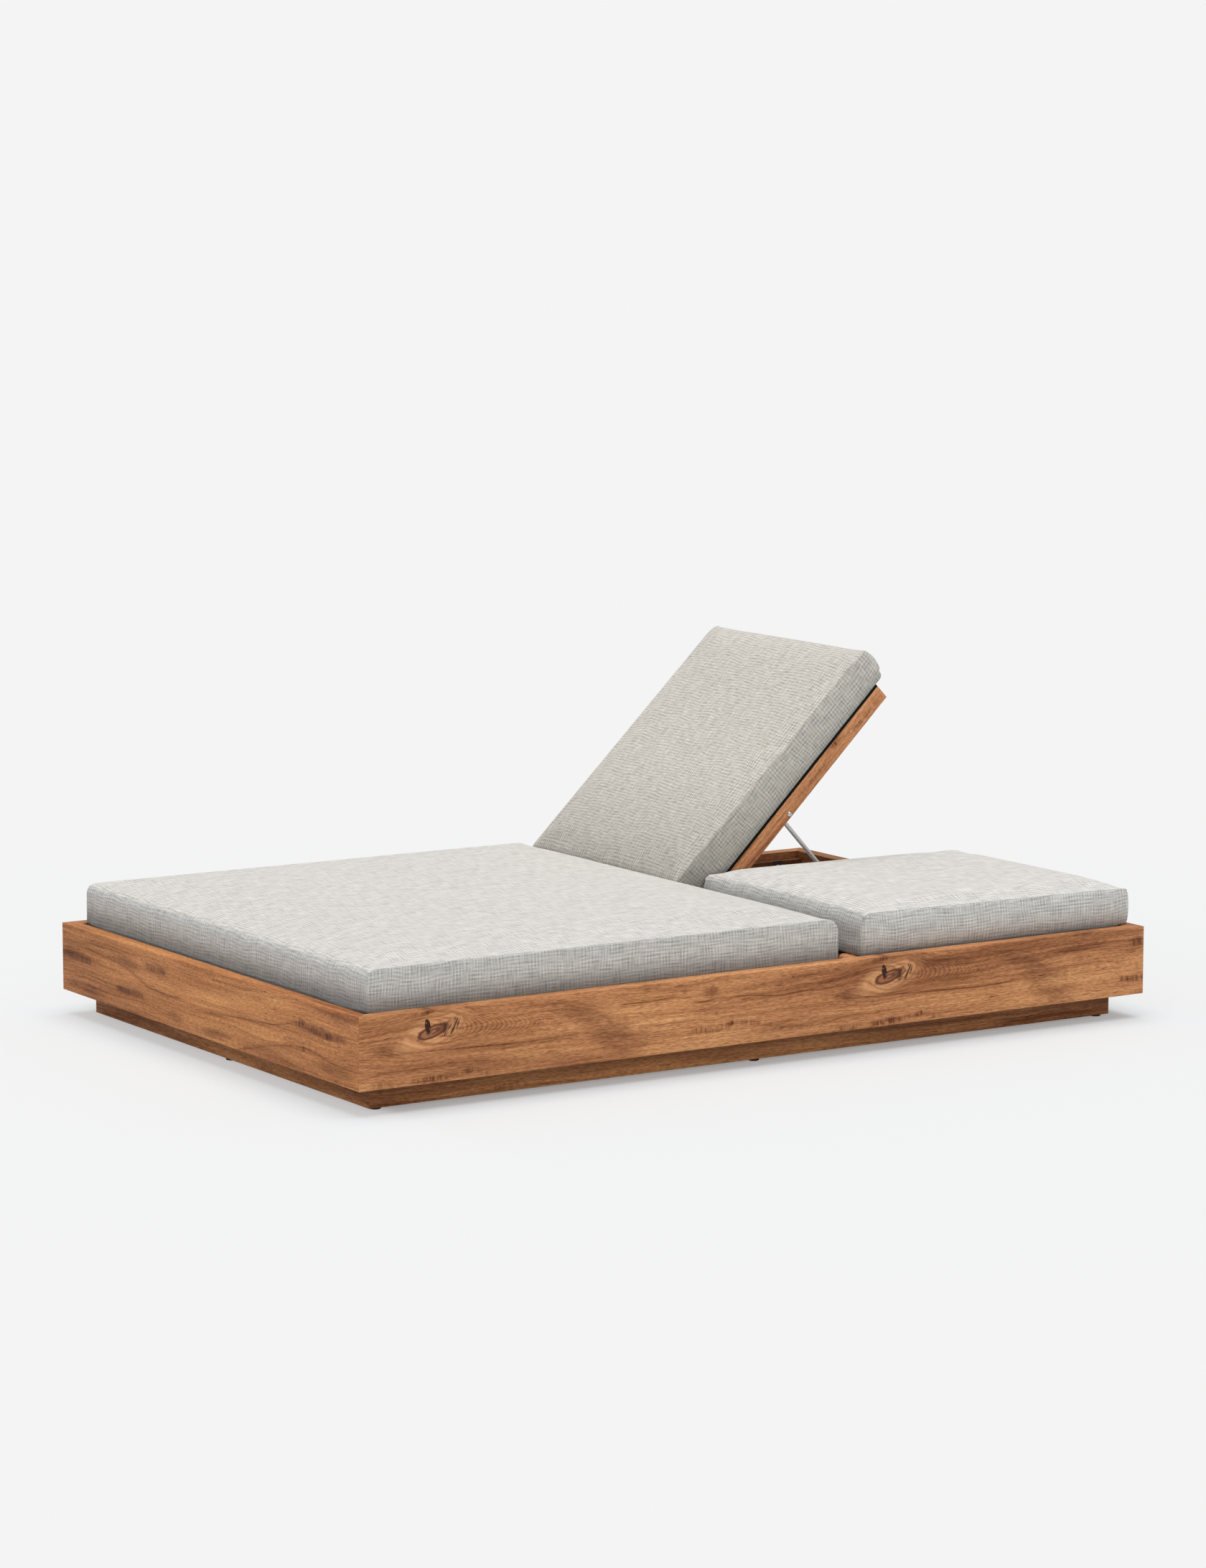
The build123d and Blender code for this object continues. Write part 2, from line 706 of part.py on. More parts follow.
def cushion(label, plane, x, s, n, crown, foot_round, head_round, head_low_round):
    """A boxed cushion: side outlines of lines and arcs, lofted across its width. The top
    is crowned both ways between straight side edges, the ends bulge, and the side edges
    draw in."""
    long = s[1] - s[0]
    wide = x[1] - x[0]
    middle_n = (n[0] + n[1]) / 2
    foot_s, foot_n = foot_round
    head_s, head_n = head_round
    with BuildPart() as body:
        for at, inset, share in (
            (0.0, 4.0, 0.03),
            (3.0, 1.0, 0.07),
            (12.0, 0.0, 0.20),
            (wide * 0.04, 0.0, 0.50),
            (wide * 0.10, 0.0, 0.85),
            (wide * 0.50, 0.0, 1.0),
            (wide * 0.90, 0.0, 0.85),
            (wide * 0.96, 0.0, 0.50),
            (wide - 12.0, 0.0, 0.20),
            (wide - 3.0, 1.0, 0.07),
            (wide, 4.0, 0.03),
        ):
            low_s = s[0] + inset
            high_s = s[1] - inset
            high_n = n[1] - inset * 0.7
            rise = crown * share
            with BuildSketch(across(plane, x[0] + at)):
                with BuildLine():
                    base = Line((low_s + 9, n[0]), (high_s - 3 - head_low_round, n[0]))
                    head_low = ThreePointArc(
                        base @ 1,
                        (high_s - 3 - head_low_round * 0.29, n[0] + head_low_round * 0.29),
                        (high_s - 3, n[0] + head_low_round),
                    )
                    head = ThreePointArc(
                        head_low @ 1, (high_s, middle_n - 4), (high_s - 2, high_n - head_n)
                    )
                    head_top = ThreePointArc(
                        head @ 1,
                        (high_s - 2 - head_s * 0.29, high_n - head_n * 0.29),
                        (high_s - 2 - head_s, high_n),
                    )
                    top_head = ThreePointArc(
                        head_top @ 1,
                        (s[1] - head_s - long * 0.05, high_n + rise * 0.62),
                        (s[1] - head_s - long * 0.15, high_n + rise),
                    )
                    top = Line(top_head @ 1, (s[0] + foot_s + long * 0.15, high_n + rise))
                    top_foot = ThreePointArc(
                        top @ 1,
                        (s[0] + foot_s + long * 0.05, high_n + rise * 0.62),
                        (low_s + 3 + foot_s, high_n),
                    )
                    foot_top = ThreePointArc(
                        top_foot @ 1,
                        (low_s + 3 + foot_s * 0.29, high_n - foot_n * 0.29),
                        (low_s + 3, high_n - foot_n),
                    )
                    foot = ThreePointArc(foot_top @ 1, (low_s, middle_n - 8), (low_s + 2, n[0] + 8))
                    ThreePointArc(foot @ 1, (low_s + 4, n[0] + 2.5), base @ 0)
                make_face()
        loft(ruled=True)
    body.part.label = label
    return body.part


def seat_cushion():
    """The wide cushion that both people sit on."""
    return cushion("seat_cushion", Plane.XY, (-SEAT_CUSHION_X, SEAT_CUSHION_X), SEAT_CUSHION_Y,
                   (SEAT_TOP, SEAT_TOP + SEAT_CUSHION_SIDE), SEAT_CROWN, (22.0, 22.0),
                   (30.0, 26.0), 14.0)


def back_cushion(side):
    """The cushion of one back. Its lower end is rounded further, where it meets the seat
    cushion as the back comes up."""
    bottom = RAIL_TOP_N + LINER_THICK
    return cushion(f"{side}_back_cushion", BACK[side], span(side, *BACK_CUSHION_X), BACK_CUSHION_S,
                   (bottom, bottom + CUSHION_SIDE), BACK_CROWN, (36.0, 46.0),
                   (9.0, 9.0), 18.0)


def base_parts():
    """Every piece of the platform."""
    parts = []
    for name in OUTWARDS:
        parts += [rim_board(name), plinth_board(name), ledger(name)]
    for side in SIDES:
        parts.append(timber(f"seat_bearer_{side}", span(side, PLINTH_IN_X, PLINTH_X),
                            (-PLINTH_Y, HINGE_BEAM_FOOT), (PLINTH_TOP, DECK_LOW)))
    parts.append(timber("seat_bearer_centre", (-CENTRE_HALF, CENTRE_HALF),
                        (-PLINTH_Y, HINGE_BEAM_FOOT), (PLINTH_TOP, DECK_LOW)))
    parts.append(timber("back_centre_beam", (-CENTRE_HALF, CENTRE_HALF),
                        (HINGE_BEAM_HEAD, PLINTH_Y), (PLINTH_TOP, FLAT_LOW)))
    for name, y in CROSS_BEARERS.items():
        parts.append(timber(f"cross_bearer_{name}", (-PLINTH_IN_X, PLINTH_IN_X),
                            (y - CROSS_BEARER_WIDE / 2, y + CROSS_BEARER_WIDE / 2),
                            (PLINTH_TOP - CROSS_BEARER_HIGH, PLINTH_TOP)))
    parts += [corner_blocks(), glides(), seat_slats(), hinge_beam(), frame_screws(), seat_cushion()]
    parts += [hinge_brackets(), hinge_bolts(), hinge_nuts()]
    for side in SIDES:
        parts += [rest_angle(side), rack(side, "inner"), rack(side, "outer")]
    return parts


def back_parts(side):
    """Every piece of one back and of its prop."""
    return [
        rail(side, "inner"),
        rail(side, "outer"),
        back_bar(side, "foot"),
        back_bar(side, "head"),
        back_slats(side),
        liner(side),
        back_cushion(side),
        prop_bolts(side),
        prop_nuts(side),
        prop_spacers(side),
        prop(side),
    ]


os.makedirs("parts", exist_ok=True)
for piece in base_parts() + back_parts("left") + back_parts("right"):
    export_step(piece, f"parts/{piece.label}.step")
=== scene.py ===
"""Looks of the double chaise lounger: oiled teak, linen cushions, steel props, studio."""

from math import cos, pi, radians, sin

import bpy
import numpy as np
from mathutils import Matrix, Vector
from mathutils.bvhtree import BVHTree


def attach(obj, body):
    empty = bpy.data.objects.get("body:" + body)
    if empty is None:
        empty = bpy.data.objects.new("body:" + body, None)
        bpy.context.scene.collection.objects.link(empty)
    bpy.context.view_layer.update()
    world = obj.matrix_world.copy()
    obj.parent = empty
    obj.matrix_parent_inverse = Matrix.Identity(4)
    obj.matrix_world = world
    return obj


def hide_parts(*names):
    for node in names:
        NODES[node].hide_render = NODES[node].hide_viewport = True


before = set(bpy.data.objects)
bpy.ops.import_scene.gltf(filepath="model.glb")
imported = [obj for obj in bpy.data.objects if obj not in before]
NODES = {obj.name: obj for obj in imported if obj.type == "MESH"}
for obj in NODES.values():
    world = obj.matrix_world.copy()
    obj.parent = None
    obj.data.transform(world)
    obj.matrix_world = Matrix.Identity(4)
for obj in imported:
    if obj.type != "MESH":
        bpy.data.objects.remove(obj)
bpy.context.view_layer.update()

HINGE = Vector((0.0, 0.256, 0.186))
RAISED = radians(44.2)
RAISE = Matrix.Translation(HINGE) @ Matrix.Rotation(RAISED, 4, "X") @ Matrix.Translation(-HINGE)
RIM_Y = 1.0
WHITE = (1.0, 1.0, 1.0)

CAMERA_PLACE = (8.861, -5.640, 2.0257)
CAMERA_TURN = radians(57.51)
CAMERA_PITCH = radians(8.16)
CAMERA_LENS = 110.14

BACKDROP = 0.905
WORLD_LIGHT = 0.46
SUN_LIGHT = 1.95
SUN_WIDE = radians(50.0)
SUN_AIM = (0.0, -0.06, -1.0)
FLOOR_HALF = 40
# The near floor tint is bluish, painted to cancel the warm light that the wood throws on the floor.
FLOOR_TINT_NEAR = (0.780, 0.834, 0.868)
FLOOR_TINT_FAR = (0.826, 0.834, 0.838)

WOOD_STOPS = (
    (0.355, (0.230, 0.078, 0.028)),
    (0.430, (0.415, 0.162, 0.064)),
    (0.495, (0.560, 0.238, 0.100)),
    (0.555, (0.680, 0.304, 0.128)),
    (0.640, (0.820, 0.402, 0.172)),
)
HUE_STOPS = ((0.36, (0.97, 0.95, 0.94)), (0.50, WHITE), (0.64, (1.05, 1.07, 1.04)))
FLECK_STOPS = ((0.34, (0.76, 0.72, 0.70)), (0.50, WHITE), (0.66, (1.15, 1.17, 1.17)))
LINEN_STOPS = (
    (0.32, (0.376, 0.362, 0.341)),
    (0.44, (0.601, 0.579, 0.547)),
    (0.54, (0.747, 0.721, 0.681)),
    (0.68, (0.925, 0.898, 0.860)),
)
KNOT_SIZE = (0.034, 0.0125)
KNOT_GLOW = (0.980, 0.490, 0.220)
KNOT_ARCS = (0.56, 0.44, 0.38)
KNOT_BROWNS = ((0.215, 0.070, 0.032), (0.420, 0.165, 0.075))
KNOT_EDGE = (0.085, 0.032, 0.018)
KNOT_FAN = (0.060, 0.020, 0.009)
KNOT_SPLIT = (0.035, 0.010, 0.004)
KNOT_PALE = (0.720, 0.450, 0.270)

# Tones that multiply the wood. The plinths' tone is painted shade under the rim's overhang, and
# the colour after it is painted light that fades out from a low to a high place above the floor.
PLINTH_SHADE = (0.54, 0.55, 0.52)
PLINTH_LIT_BELOW = (0.008, 0.042, (1.95, 2.02, 2.08))
# The inside tone is painted shade: the boards inside the frame are darker, as the shade falls in
# there.
INSIDE_SHADE = (0.32, 0.31, 0.29)
# The rails' tone is lighter than the rim's: partly their own paler wood, and partly painted light
# where they stand in shade under the back cushions.
RAILS = (1.14, 1.175, 1.28)

# Cushions. FINE_SIDES and FINE_ENDS are the first grid lines in from an edge. The underside
# sags outside the pad's edge and foot, and not over the head board.
SEAM = 0.004
GRID_STEP = 0.012
GRID_STEP_UP = 0.008
FINE_SIDES = (
    0.0, 0.0008, 0.0018, 0.003, 0.0045, 0.0065, 0.009, 0.012, 0.016, 0.021, 0.027, 0.034, 0.042,
)
FINE_ENDS = (0.0, 0.003, 0.006, 0.009, 0.013, 0.018, 0.024, 0.031, 0.04)
PAD_EDGE_X = 0.6095
PAD_FOOT_Y = 0.2660
HEAD_BOARD_Y = 0.9610
SAG_HEIGHT = 0.03
PUFF_VOXEL = 0.012
PUFF_CAP = 0.006
PUFF_HELD = 0.012
PUFF_FRAMES = 20
PUFF_PRESSURE = 4.0

# Marks on single boards, in metres along and across them. A line or row is its half width
# and then its points (length, wide, strength). A cloud is its middle, half sizes and slope.
RAIL_MARKS = {
    "repeat": 1.131,
    "knots": ((0.172, 0.160),),
    "clouds": (
        ((0.600, 0.108), (0.100, 0.066), -0.45),
        ((0.550, 0.150), (0.130, 0.030), -0.30),
        ((0.070, 0.132), (0.065, 0.018), 0.0),
        ((0.850, 0.174), (0.030, 0.016), 0.0),
    ),
    "lines": (
        (0.0026, (0.02, 0.128, 0.0), (0.085, 0.122, 0.8), (0.15, 0.1215, 0.7), (0.30, 0.117, 0.9),
         (0.425, 0.1155, 0.9), (0.50, 0.119, 0.7), (0.57, 0.128, 0.0)),
        (0.0016, (0.0, 0.075, 0.5), (0.06, 0.087, 0.6), (0.135, 0.087, 0.7), (0.28, 0.0915, 0.4),
         (0.33, 0.093, 0.0)),
        (0.0030, (0.43, 0.193, 0.0), (0.50, 0.180, 0.25), (0.56, 0.162, 0.3), (0.60, 0.136, 0.15),
         (0.62, 0.12, 0.0)),
        (0.0024, (0.61, 0.1690, 0.0), (0.64, 0.1685, 0.9), (0.70, 0.1685, 0.9),
         (0.745, 0.1705, 0.5),
         (0.77, 0.173, 0.0)),
        (0.0022, (0.79, 0.158, 0.0), (0.832, 0.155, 0.8), (0.867, 0.159, 0.4), (0.947, 0.1545, 0.7),
         (1.017, 0.1495, 0.9), (1.092, 0.152, 0.6), (1.131, 0.157, 0.2)),
        (0.0014, (0.667, 0.117, 0.5), (0.747, 0.117, 0.6), (0.797, 0.1195, 0.4),
         (0.867, 0.124, 0.0)),
        (0.0016, (0.93, 0.094, 0.0), (1.01, 0.084, 0.5), (1.07, 0.077, 0.6), (1.131, 0.075, 0.5)),
        (0.0012, (0.405, 0.152, 0.0), (0.413, 0.151, 1.0), (0.422, 0.150, 0.0), (0.435, 0.090, 0.0),
         (0.446, 0.090, 1.0), (0.466, 0.0895, 0.6), (0.475, 0.089, 0.0), (1.045, 0.185, 0.0),
         (1.052, 0.1845, 1.0), (1.062, 0.184, 0.0)),
        (0.0014, (0.36, 0.186, 0.0), (0.42, 0.190, 0.4), (0.52, 0.183, 0.5), (0.60, 0.170, 0.0),
         (0.70, 0.198, 0.0), (0.78, 0.193, 0.4), (0.90, 0.197, 0.5), (1.00, 0.190, 0.0)),
    ),
    "rows": (
        (0.0075, (0.02, 0.060, 0.0), (0.05, 0.062, 0.55), (0.09, 0.060, 0.4), (0.115, 0.060, 0.0),
         (0.135, 0.062, 0.8), (0.165, 0.063, 1.0), (0.205, 0.065, 0.8), (0.235, 0.068, 0.3),
         (0.257, 0.072, 1.0), (0.268, 0.071, 0.4), (0.29, 0.064, 0.5), (0.33, 0.060, 0.0)),
        (0.0078, (0.795, 0.094, 0.0), (0.812, 0.094, 1.0), (0.845, 0.092, 0.8), (0.880, 0.096, 0.6),
         (0.903, 0.103, 1.0), (0.915, 0.100, 0.3), (0.935, 0.098, 0.6), (0.975, 0.094, 0.4),
         (1.02, 0.089, 0.0)),
        (0.0065, (0.11, 0.197, 0.0), (0.135, 0.197, 0.5), (0.160, 0.200, 1.0), (0.175, 0.202, 0.4),
         (0.20, 0.203, 0.0), (0.660, 0.203, 0.0), (0.69, 0.201, 0.4), (0.73, 0.202, 0.3),
         (0.75, 0.203, 0.0)),
        (0.011, (0.822, 0.172, 0.0), (0.838, 0.173, 0.7), (0.856, 0.174, 0.6), (0.872, 0.174, 0.0)),
    ),
}
RAISED_MARKS = {
    "lines": (
        (0.0016, (0.36, 0.196, 0.0), (0.45, 0.198, 0.7), (0.62, 0.200, 0.0), (0.64, 0.181, 0.0),
         (0.70, 0.179, 0.6), (0.80, 0.182, 0.0)),
    ),
    "rows": (
        (0.007, (0.60, 0.185, 0.0), (0.66, 0.183, 0.5), (0.72, 0.180, 0.4), (0.766, 0.192, 0.3),
         (0.79, 0.193, 1.0), (0.81, 0.190, 0.3), (0.85, 0.178, 0.5), (0.93, 0.176, 0.5),
         (0.985, 0.175, 0.0)),
    ),
}
FOOT_MARKS = {
    "clouds": (
        ((-0.130, 0.078), (0.060, 0.016), 0.0),
        ((-0.560, 0.075), (0.130, 0.020), -0.05),
        ((-0.360, 0.165), (0.110, 0.020), -0.1),
        ((0.590, 0.190), (0.090, 0.014), 0.0),
        ((0.500, 0.152), (0.150, 0.020), 0.0),
        ((-0.600, 0.140), (0.130, 0.020), 0.0),
        ((-0.220, 0.172), (0.080, 0.020), 0.0),
        ((0.560, 0.080), (0.150, 0.016), 0.0),
        ((-0.340, 0.100), (0.090, 0.016), 0.0),
        ((0.060, 0.075), (0.110, 0.016), 0.1),
    ),
    "lines": (
        (0.0020, (-0.667, 0.168, 0.3), (-0.433, 0.157, 0.7), (-0.333, 0.147, 0.6),
         (-0.263, 0.127, 0.8),
         (-0.193, 0.122, 1.0), (-0.113, 0.122, 0.8), (-0.07, 0.122, 0.0)),
        (0.0018, (-0.05, 0.104, 0.0), (0.027, 0.112, 0.5), (0.107, 0.119, 0.6), (0.247, 0.129, 0.8),
         (0.337, 0.139, 0.7), (0.427, 0.157, 0.3), (0.45, 0.160, 0.0)),
        (0.0020, (0.14, 0.054, 0.3), (0.167, 0.059, 0.6), (0.267, 0.082, 0.7), (0.367, 0.099, 0.8),
         (0.447, 0.107, 0.9), (0.557, 0.095, 0.8), (0.667, 0.092, 0.6)),
        (0.0014, (-0.62, 0.112, 0.0), (-0.50, 0.104, 0.6), (-0.38, 0.102, 0.4), (-0.30, 0.100, 0.0),
         (0.00, 0.186, 0.0), (0.05, 0.187, 0.7), (0.187, 0.188, 0.6), (0.30, 0.194, 0.0)),
    ),
    "rows": (
        (0.009, (-0.667, 0.141, 0.9), (-0.64, 0.141, 0.6), (-0.58, 0.139, 0.4),
         (-0.548, 0.137, 1.0),
         (-0.52, 0.137, 0.3), (-0.485, 0.137, 0.0), (-0.262, 0.168, 0.0), (-0.253, 0.168, 0.9),
         (-0.235, 0.168, 0.9), (-0.21, 0.167, 0.4), (-0.178, 0.167, 0.9), (-0.16, 0.167, 0.0),
         (0.40, 0.152, 0.0), (0.435, 0.157, 1.0), (0.455, 0.153, 0.4), (0.487, 0.149, 0.8),
         (0.517, 0.148, 0.5), (0.542, 0.147, 1.0), (0.57, 0.147, 0.3), (0.597, 0.148, 0.8),
         (0.62, 0.148, 0.0)),
        (0.007, (-0.41, 0.101, 0.0), (-0.39, 0.101, 0.8), (-0.35, 0.100, 0.7), (-0.31, 0.100, 0.3),
         (-0.28, 0.099, 0.7), (-0.265, 0.099, 0.0), (0.04, 0.190, 0.0), (0.05, 0.190, 0.9),
         (0.063, 0.190, 0.0), (0.425, 0.106, 0.0), (0.435, 0.106, 1.0), (0.452, 0.106, 0.0)),
    ),
}


def camera():
    """The camera at the photograph's viewing angle."""
    data = bpy.data.cameras.new("camera")
    data.lens = CAMERA_LENS
    data.sensor_width = 36.0
    cam = bpy.data.objects.new("camera", data)
    bpy.context.collection.objects.link(cam)
    level = cos(CAMERA_PITCH)
    aim = Vector((-sin(CAMERA_TURN) * level, cos(CAMERA_TURN) * level, -sin(CAMERA_PITCH)))
    cam.location = CAMERA_PLACE
    cam.rotation_euler = aim.to_track_quat("-Z", "Y").to_euler()
    bpy.context.scene.camera = cam


class Net:
    """Shader nodes of one material, joined by short calls."""

    def __init__(self, name):
        self.material = bpy.data.materials.new(name)
        self.material.use_nodes = True
        self.tree = self.material.node_tree
        self.tree.nodes.clear()

    def add(self, kind, feeds=None, **settings):
        node = self.tree.nodes.new("ShaderNode" + kind)
        for key, value in settings.items():
            setattr(node, key, value)
        for key, value in (feeds or {}).items():
            self.feed(node.inputs[key], value)
        return node

    def feed(self, socket, value):
        if isinstance(value, bpy.types.NodeSocket):
            self.tree.links.new(value, socket)
        else:
            socket.default_value = value

    def math(self, operation, a, b=0.0, c=0.0, clamp=False):
        return self.add("Math", {0: a, 1: b, 2: c}, operation=operation, use_clamp=clamp).outputs[0]

    def mul(self, a, b):
        return self.math("MULTIPLY", a, b)

    def plus(self, a, b):
        return self.math("ADD", a, b)

    def split(self, vector):
        return self.add("SeparateXYZ", {0: vector}).outputs

    def join(self, x, y, z):
        return self.add("CombineXYZ", {0: x, 1: y, 2: z}).outputs[0]

    def noise(self, x, y, z, detail=2.0, roughness=0.5, distortion=0.0):
        node = self.add(
            "TexNoise",
            {
                "Vector": self.join(x, y, z),
                "Scale": 1.0,
                "Detail": detail,
                "Roughness": roughness,
                "Distortion": distortion,
            },
        )
        return node.outputs[0]

    def grain(self, place, along, across, detail=2.0, roughness=0.5):
        """Noise at one scale along the grain and another across it and through the board."""
        length, wide, deep = place
        vector = self.mul(length, along), self.mul(wide, across), self.mul(deep, across)
        return self.noise(*vector, detail, roughness)

    def ease(self, value, low, high, start=0.0, end=1.0):
        """value from low to high, turned smoothly into start to end."""
        feeds = {0: value, 1: low, 2: high, 3: start, 4: end}
        return self.add("MapRange", feeds, interpolation_type="SMOOTHSTEP", clamp=True).outputs[0]

    def ramp(self, value, *stops):
        node = self.add("ValToRGB", {0: value})
        points = node.color_ramp.elements
        while len(points) < len(stops):
            points.new(0.5)
        for point, (at, color) in zip(points, stops):
            point.position = at
            point.color = (*color, 1.0)
        return node.outputs[0]

    def mix(self, share, a, b, blend="MIX"):
        node = self.add("Mix", data_type="RGBA", blend_type=blend)
        self.feed(node.inputs[0], share)
        self.feed(node.inputs[6], a if isinstance(a, bpy.types.NodeSocket) else (*a, 1.0))
        self.feed(node.inputs[7], b if isinstance(b, bpy.types.NodeSocket) else (*b, 1.0))
        return node.outputs[2]

    def bump(self, height, strength, distance):
        feeds = {"Height": height, "Strength": strength, "Distance": distance}
        return self.add("Bump", feeds).outputs[0]

    def finish(self, **feeds):
        """Adds the surface shader and the output."""
        named = {key.replace("_", " "): value for key, value in feeds.items()}
        shader = self.add("BsdfPrincipled", named)
        self.add("OutputMaterial", {0: shader.outputs[0]})
        return self.material


def board_place(net, along, raised):
    """Coordinates along the grain, across it and through the board."""
    place = net.add("TexCoord").outputs["Object"]
    if raised:
        feeds = {"Vector": place, "Center": HINGE, "Angle": -RAISED}
        place = net.add("VectorRotate", feeds, rotation_type="X_AXIS").outputs[0]
    x, y, z = net.split(place)
    if along == "Y":
        return y, z, x
    if along == "X":
        return x, z, y
    return z, x, y


def oval(net, along, off, size):
    """Distance from a middle, which is 1 on the oval with these half sizes."""
    return net.math("SQRT", net.plus(
        net.math("POWER", net.mul(along, 1.0 / size[0]), 2.0),
        net.math("POWER", net.mul(off, 1.0 / size[1]), 2.0)))


def patch(net, length, wide, place, size, slope):
    """1 at the middle of a slanting oval, 0 outside it."""
    along = net.plus(length, -place[0])
    off = net.plus(net.plus(wide, -place[1]), net.mul(along, -slope))
    return net.ease(oval(net, along, off, size), 1.0, 0.25)


def most(net, values):
    """The largest of several values."""
    result = values[0]
    for value in values[1:]:
        result = net.math("MAXIMUM", result, value)
    return result


def trace(net, length, wide, half, points):
    """Distance over half from a curve through points (length, wide, strength), and strength."""
    first, last = points[0][0] - 0.001, points[-1][0] + 0.001
    node = net.add("ValToRGB", {0: net.mul(net.plus(length, -first), 1.0 / (last - first))})
    node.color_ramp.interpolation = "CARDINAL"
    stops = node.color_ramp.elements
    while len(stops) < len(points):
        stops.new(0.5)
    for stop, (at, place, strength) in zip(stops, points):
        stop.position = (at - first) / (last - first)
        stop.color = (place * 4.0, strength, 0.0, 1.0)
    place, strength, _ = net.add("SeparateColor", {0: node.outputs[0]}).outputs
    off = net.math("ABSOLUTE", net.plus(wide, net.mul(place, -0.25)))
    inside = net.mul(net.math("GREATER_THAN", length, first), net.math("LESS_THAN", length, last))
    return net.mul(off, 1.0 / half), net.mul(strength, inside)


def drawn(net, at_length, at_wide, curves, *fades):
    """The strongest of some curves at each point, once for each fade (outer, inner)."""
    traced = [trace(net, at_length, at_wide, half, points) for half, *points in curves]
    return [
        most(net, [net.mul(net.ease(off, *fade), strength) for off, strength in traced])
        for fade in fades
    ]


def knot_layers(net, at_length, at_wide, bend, knot):
    """How one knot pushes the grain aside, the arcs round it and its own layers."""
    knot_length, knot_wide = knot
    dl = net.plus(at_length, -knot_length)
    dw = net.plus(net.plus(at_wide, -knot_wide), net.mul(dl, -0.26))
    wobble = net.plus(net.noise(net.mul(dl, 34.0), net.mul(dw, 60.0), 3.7, 2.0), -0.5)
    far = net.plus(oval(net, dl, dw, KNOT_SIZE), net.mul(wobble, 0.9))
    push = net.math("EXPONENT", net.mul(net.mul(far, far), -0.09))
    push = net.mul(net.mul(dw, push), -0.85)

    # Arcs close round the knot, stronger on its right.
    right = net.plus(net.mul(net.ease(dl, -0.020, 0.030), 0.75), 0.25)
    ring = net.ease(net.math("SINE", net.mul(far, 9.0)), -0.1, 0.9)
    ring = net.mul(net.mul(ring, net.ease(far, 1.1, 1.4)), net.ease(far, 3.6, 1.6))
    ring = net.mul(ring, right)

    # Layers of the knot itself.
    swirl = net.math("SINE", net.mul(far, 13.0))
    rough = net.noise(net.mul(dl, 170.0), net.mul(dw, 230.0), 8.1, 3.0, 0.65)
    split_place = (knot_length - 0.012, knot_wide + 0.012)
    split = patch(net, at_length, at_wide, split_place, (0.0090, 0.019), -0.6)
    split = net.mul(net.ease(split, 0.05, 0.45), net.ease(rough, 0.34, 0.42))
    pale_place = (knot_length - 0.002, knot_wide + 0.001)
    pale = patch(net, at_length, at_wide, pale_place, (0.011, 0.013), 0.3)
    pale = net.mul(pale, net.ease(rough, 0.55, 0.60))
    fan_place = (knot_length + 0.042, knot_wide + 0.006)
    fan = patch(net, at_length, at_wide, fan_place, (0.027, 0.022), 0.45)
    turned = net.plus(dl, net.mul(dw, -0.55))
    rays = net.noise(net.mul(turned, 230.0), net.mul(dw, 40.0), 2.2, 2.0, 0.6)
    fan = net.mul(net.ease(fan, 0.0, 0.5), net.ease(rays, 0.45, 0.56, 0.12, 1.0))
    body = net.ease(far, 1.06, 0.94)
    edge = net.mul(net.ease(net.math("ABSOLUTE", net.plus(far, -0.94)), 0.22, 0.04), 0.55)
    edge = net.math("MAXIMUM", edge, net.mul(net.ease(dl, 0.004, 0.030), net.mul(body, 0.75)))
    halo = net.mul(net.ease(far, 1.0, 1.3), net.ease(far, 3.2, 1.5))

    # Ripples across the grain further to the right.
    off = net.plus(net.plus(at_wide, -knot_wide - 0.004), net.mul(dl, 0.04))
    band = net.plus(dl, net.mul(net.mul(off, off), 60.0))
    band = net.plus(band, net.mul(bend, 0.030))
    waves = net.math("SINE", net.mul(band, 560.0))
    reach = net.mul(net.ease(dl, 0.055, 0.080), net.ease(dl, 0.36, 0.12))
    reach = net.mul(reach, net.ease(net.math("ABSOLUTE", off), 0.040, 0.016))
    ripple = net.mul(net.mul(net.ease(waves, -0.3, 0.9), reach), 0.9)
    return push, [ring, ripple], (halo, body, swirl, edge, fan, split, pale)


def knot_color(net, color, fine, arcs, layers):
    """Paints one knot over the wood, from the glow round it to the cracks in it."""
    halo, body, swirl, edge, fan, split, pale = layers
    glow = net.mul(halo, net.ease(fine, 0.36, 0.56, 0.25, 0.70))
    color = net.mix(glow, color, KNOT_GLOW)
    color = net.mix(net.mul(most(net, arcs), 0.70), color, KNOT_ARCS, "MULTIPLY")
    brown = net.mix(net.ease(swirl, -0.6, 0.7), *KNOT_BROWNS)
    color = net.mix(net.mul(body, 0.95), color, brown)
    color = net.mix(edge, color, KNOT_EDGE)
    color = net.mix(net.mul(fan, 0.88), color, KNOT_FAN)
    color = net.mix(net.mul(split, 0.97), color, KNOT_SPLIT)
    return net.mix(net.mul(pale, 0.80), color, KNOT_PALE)


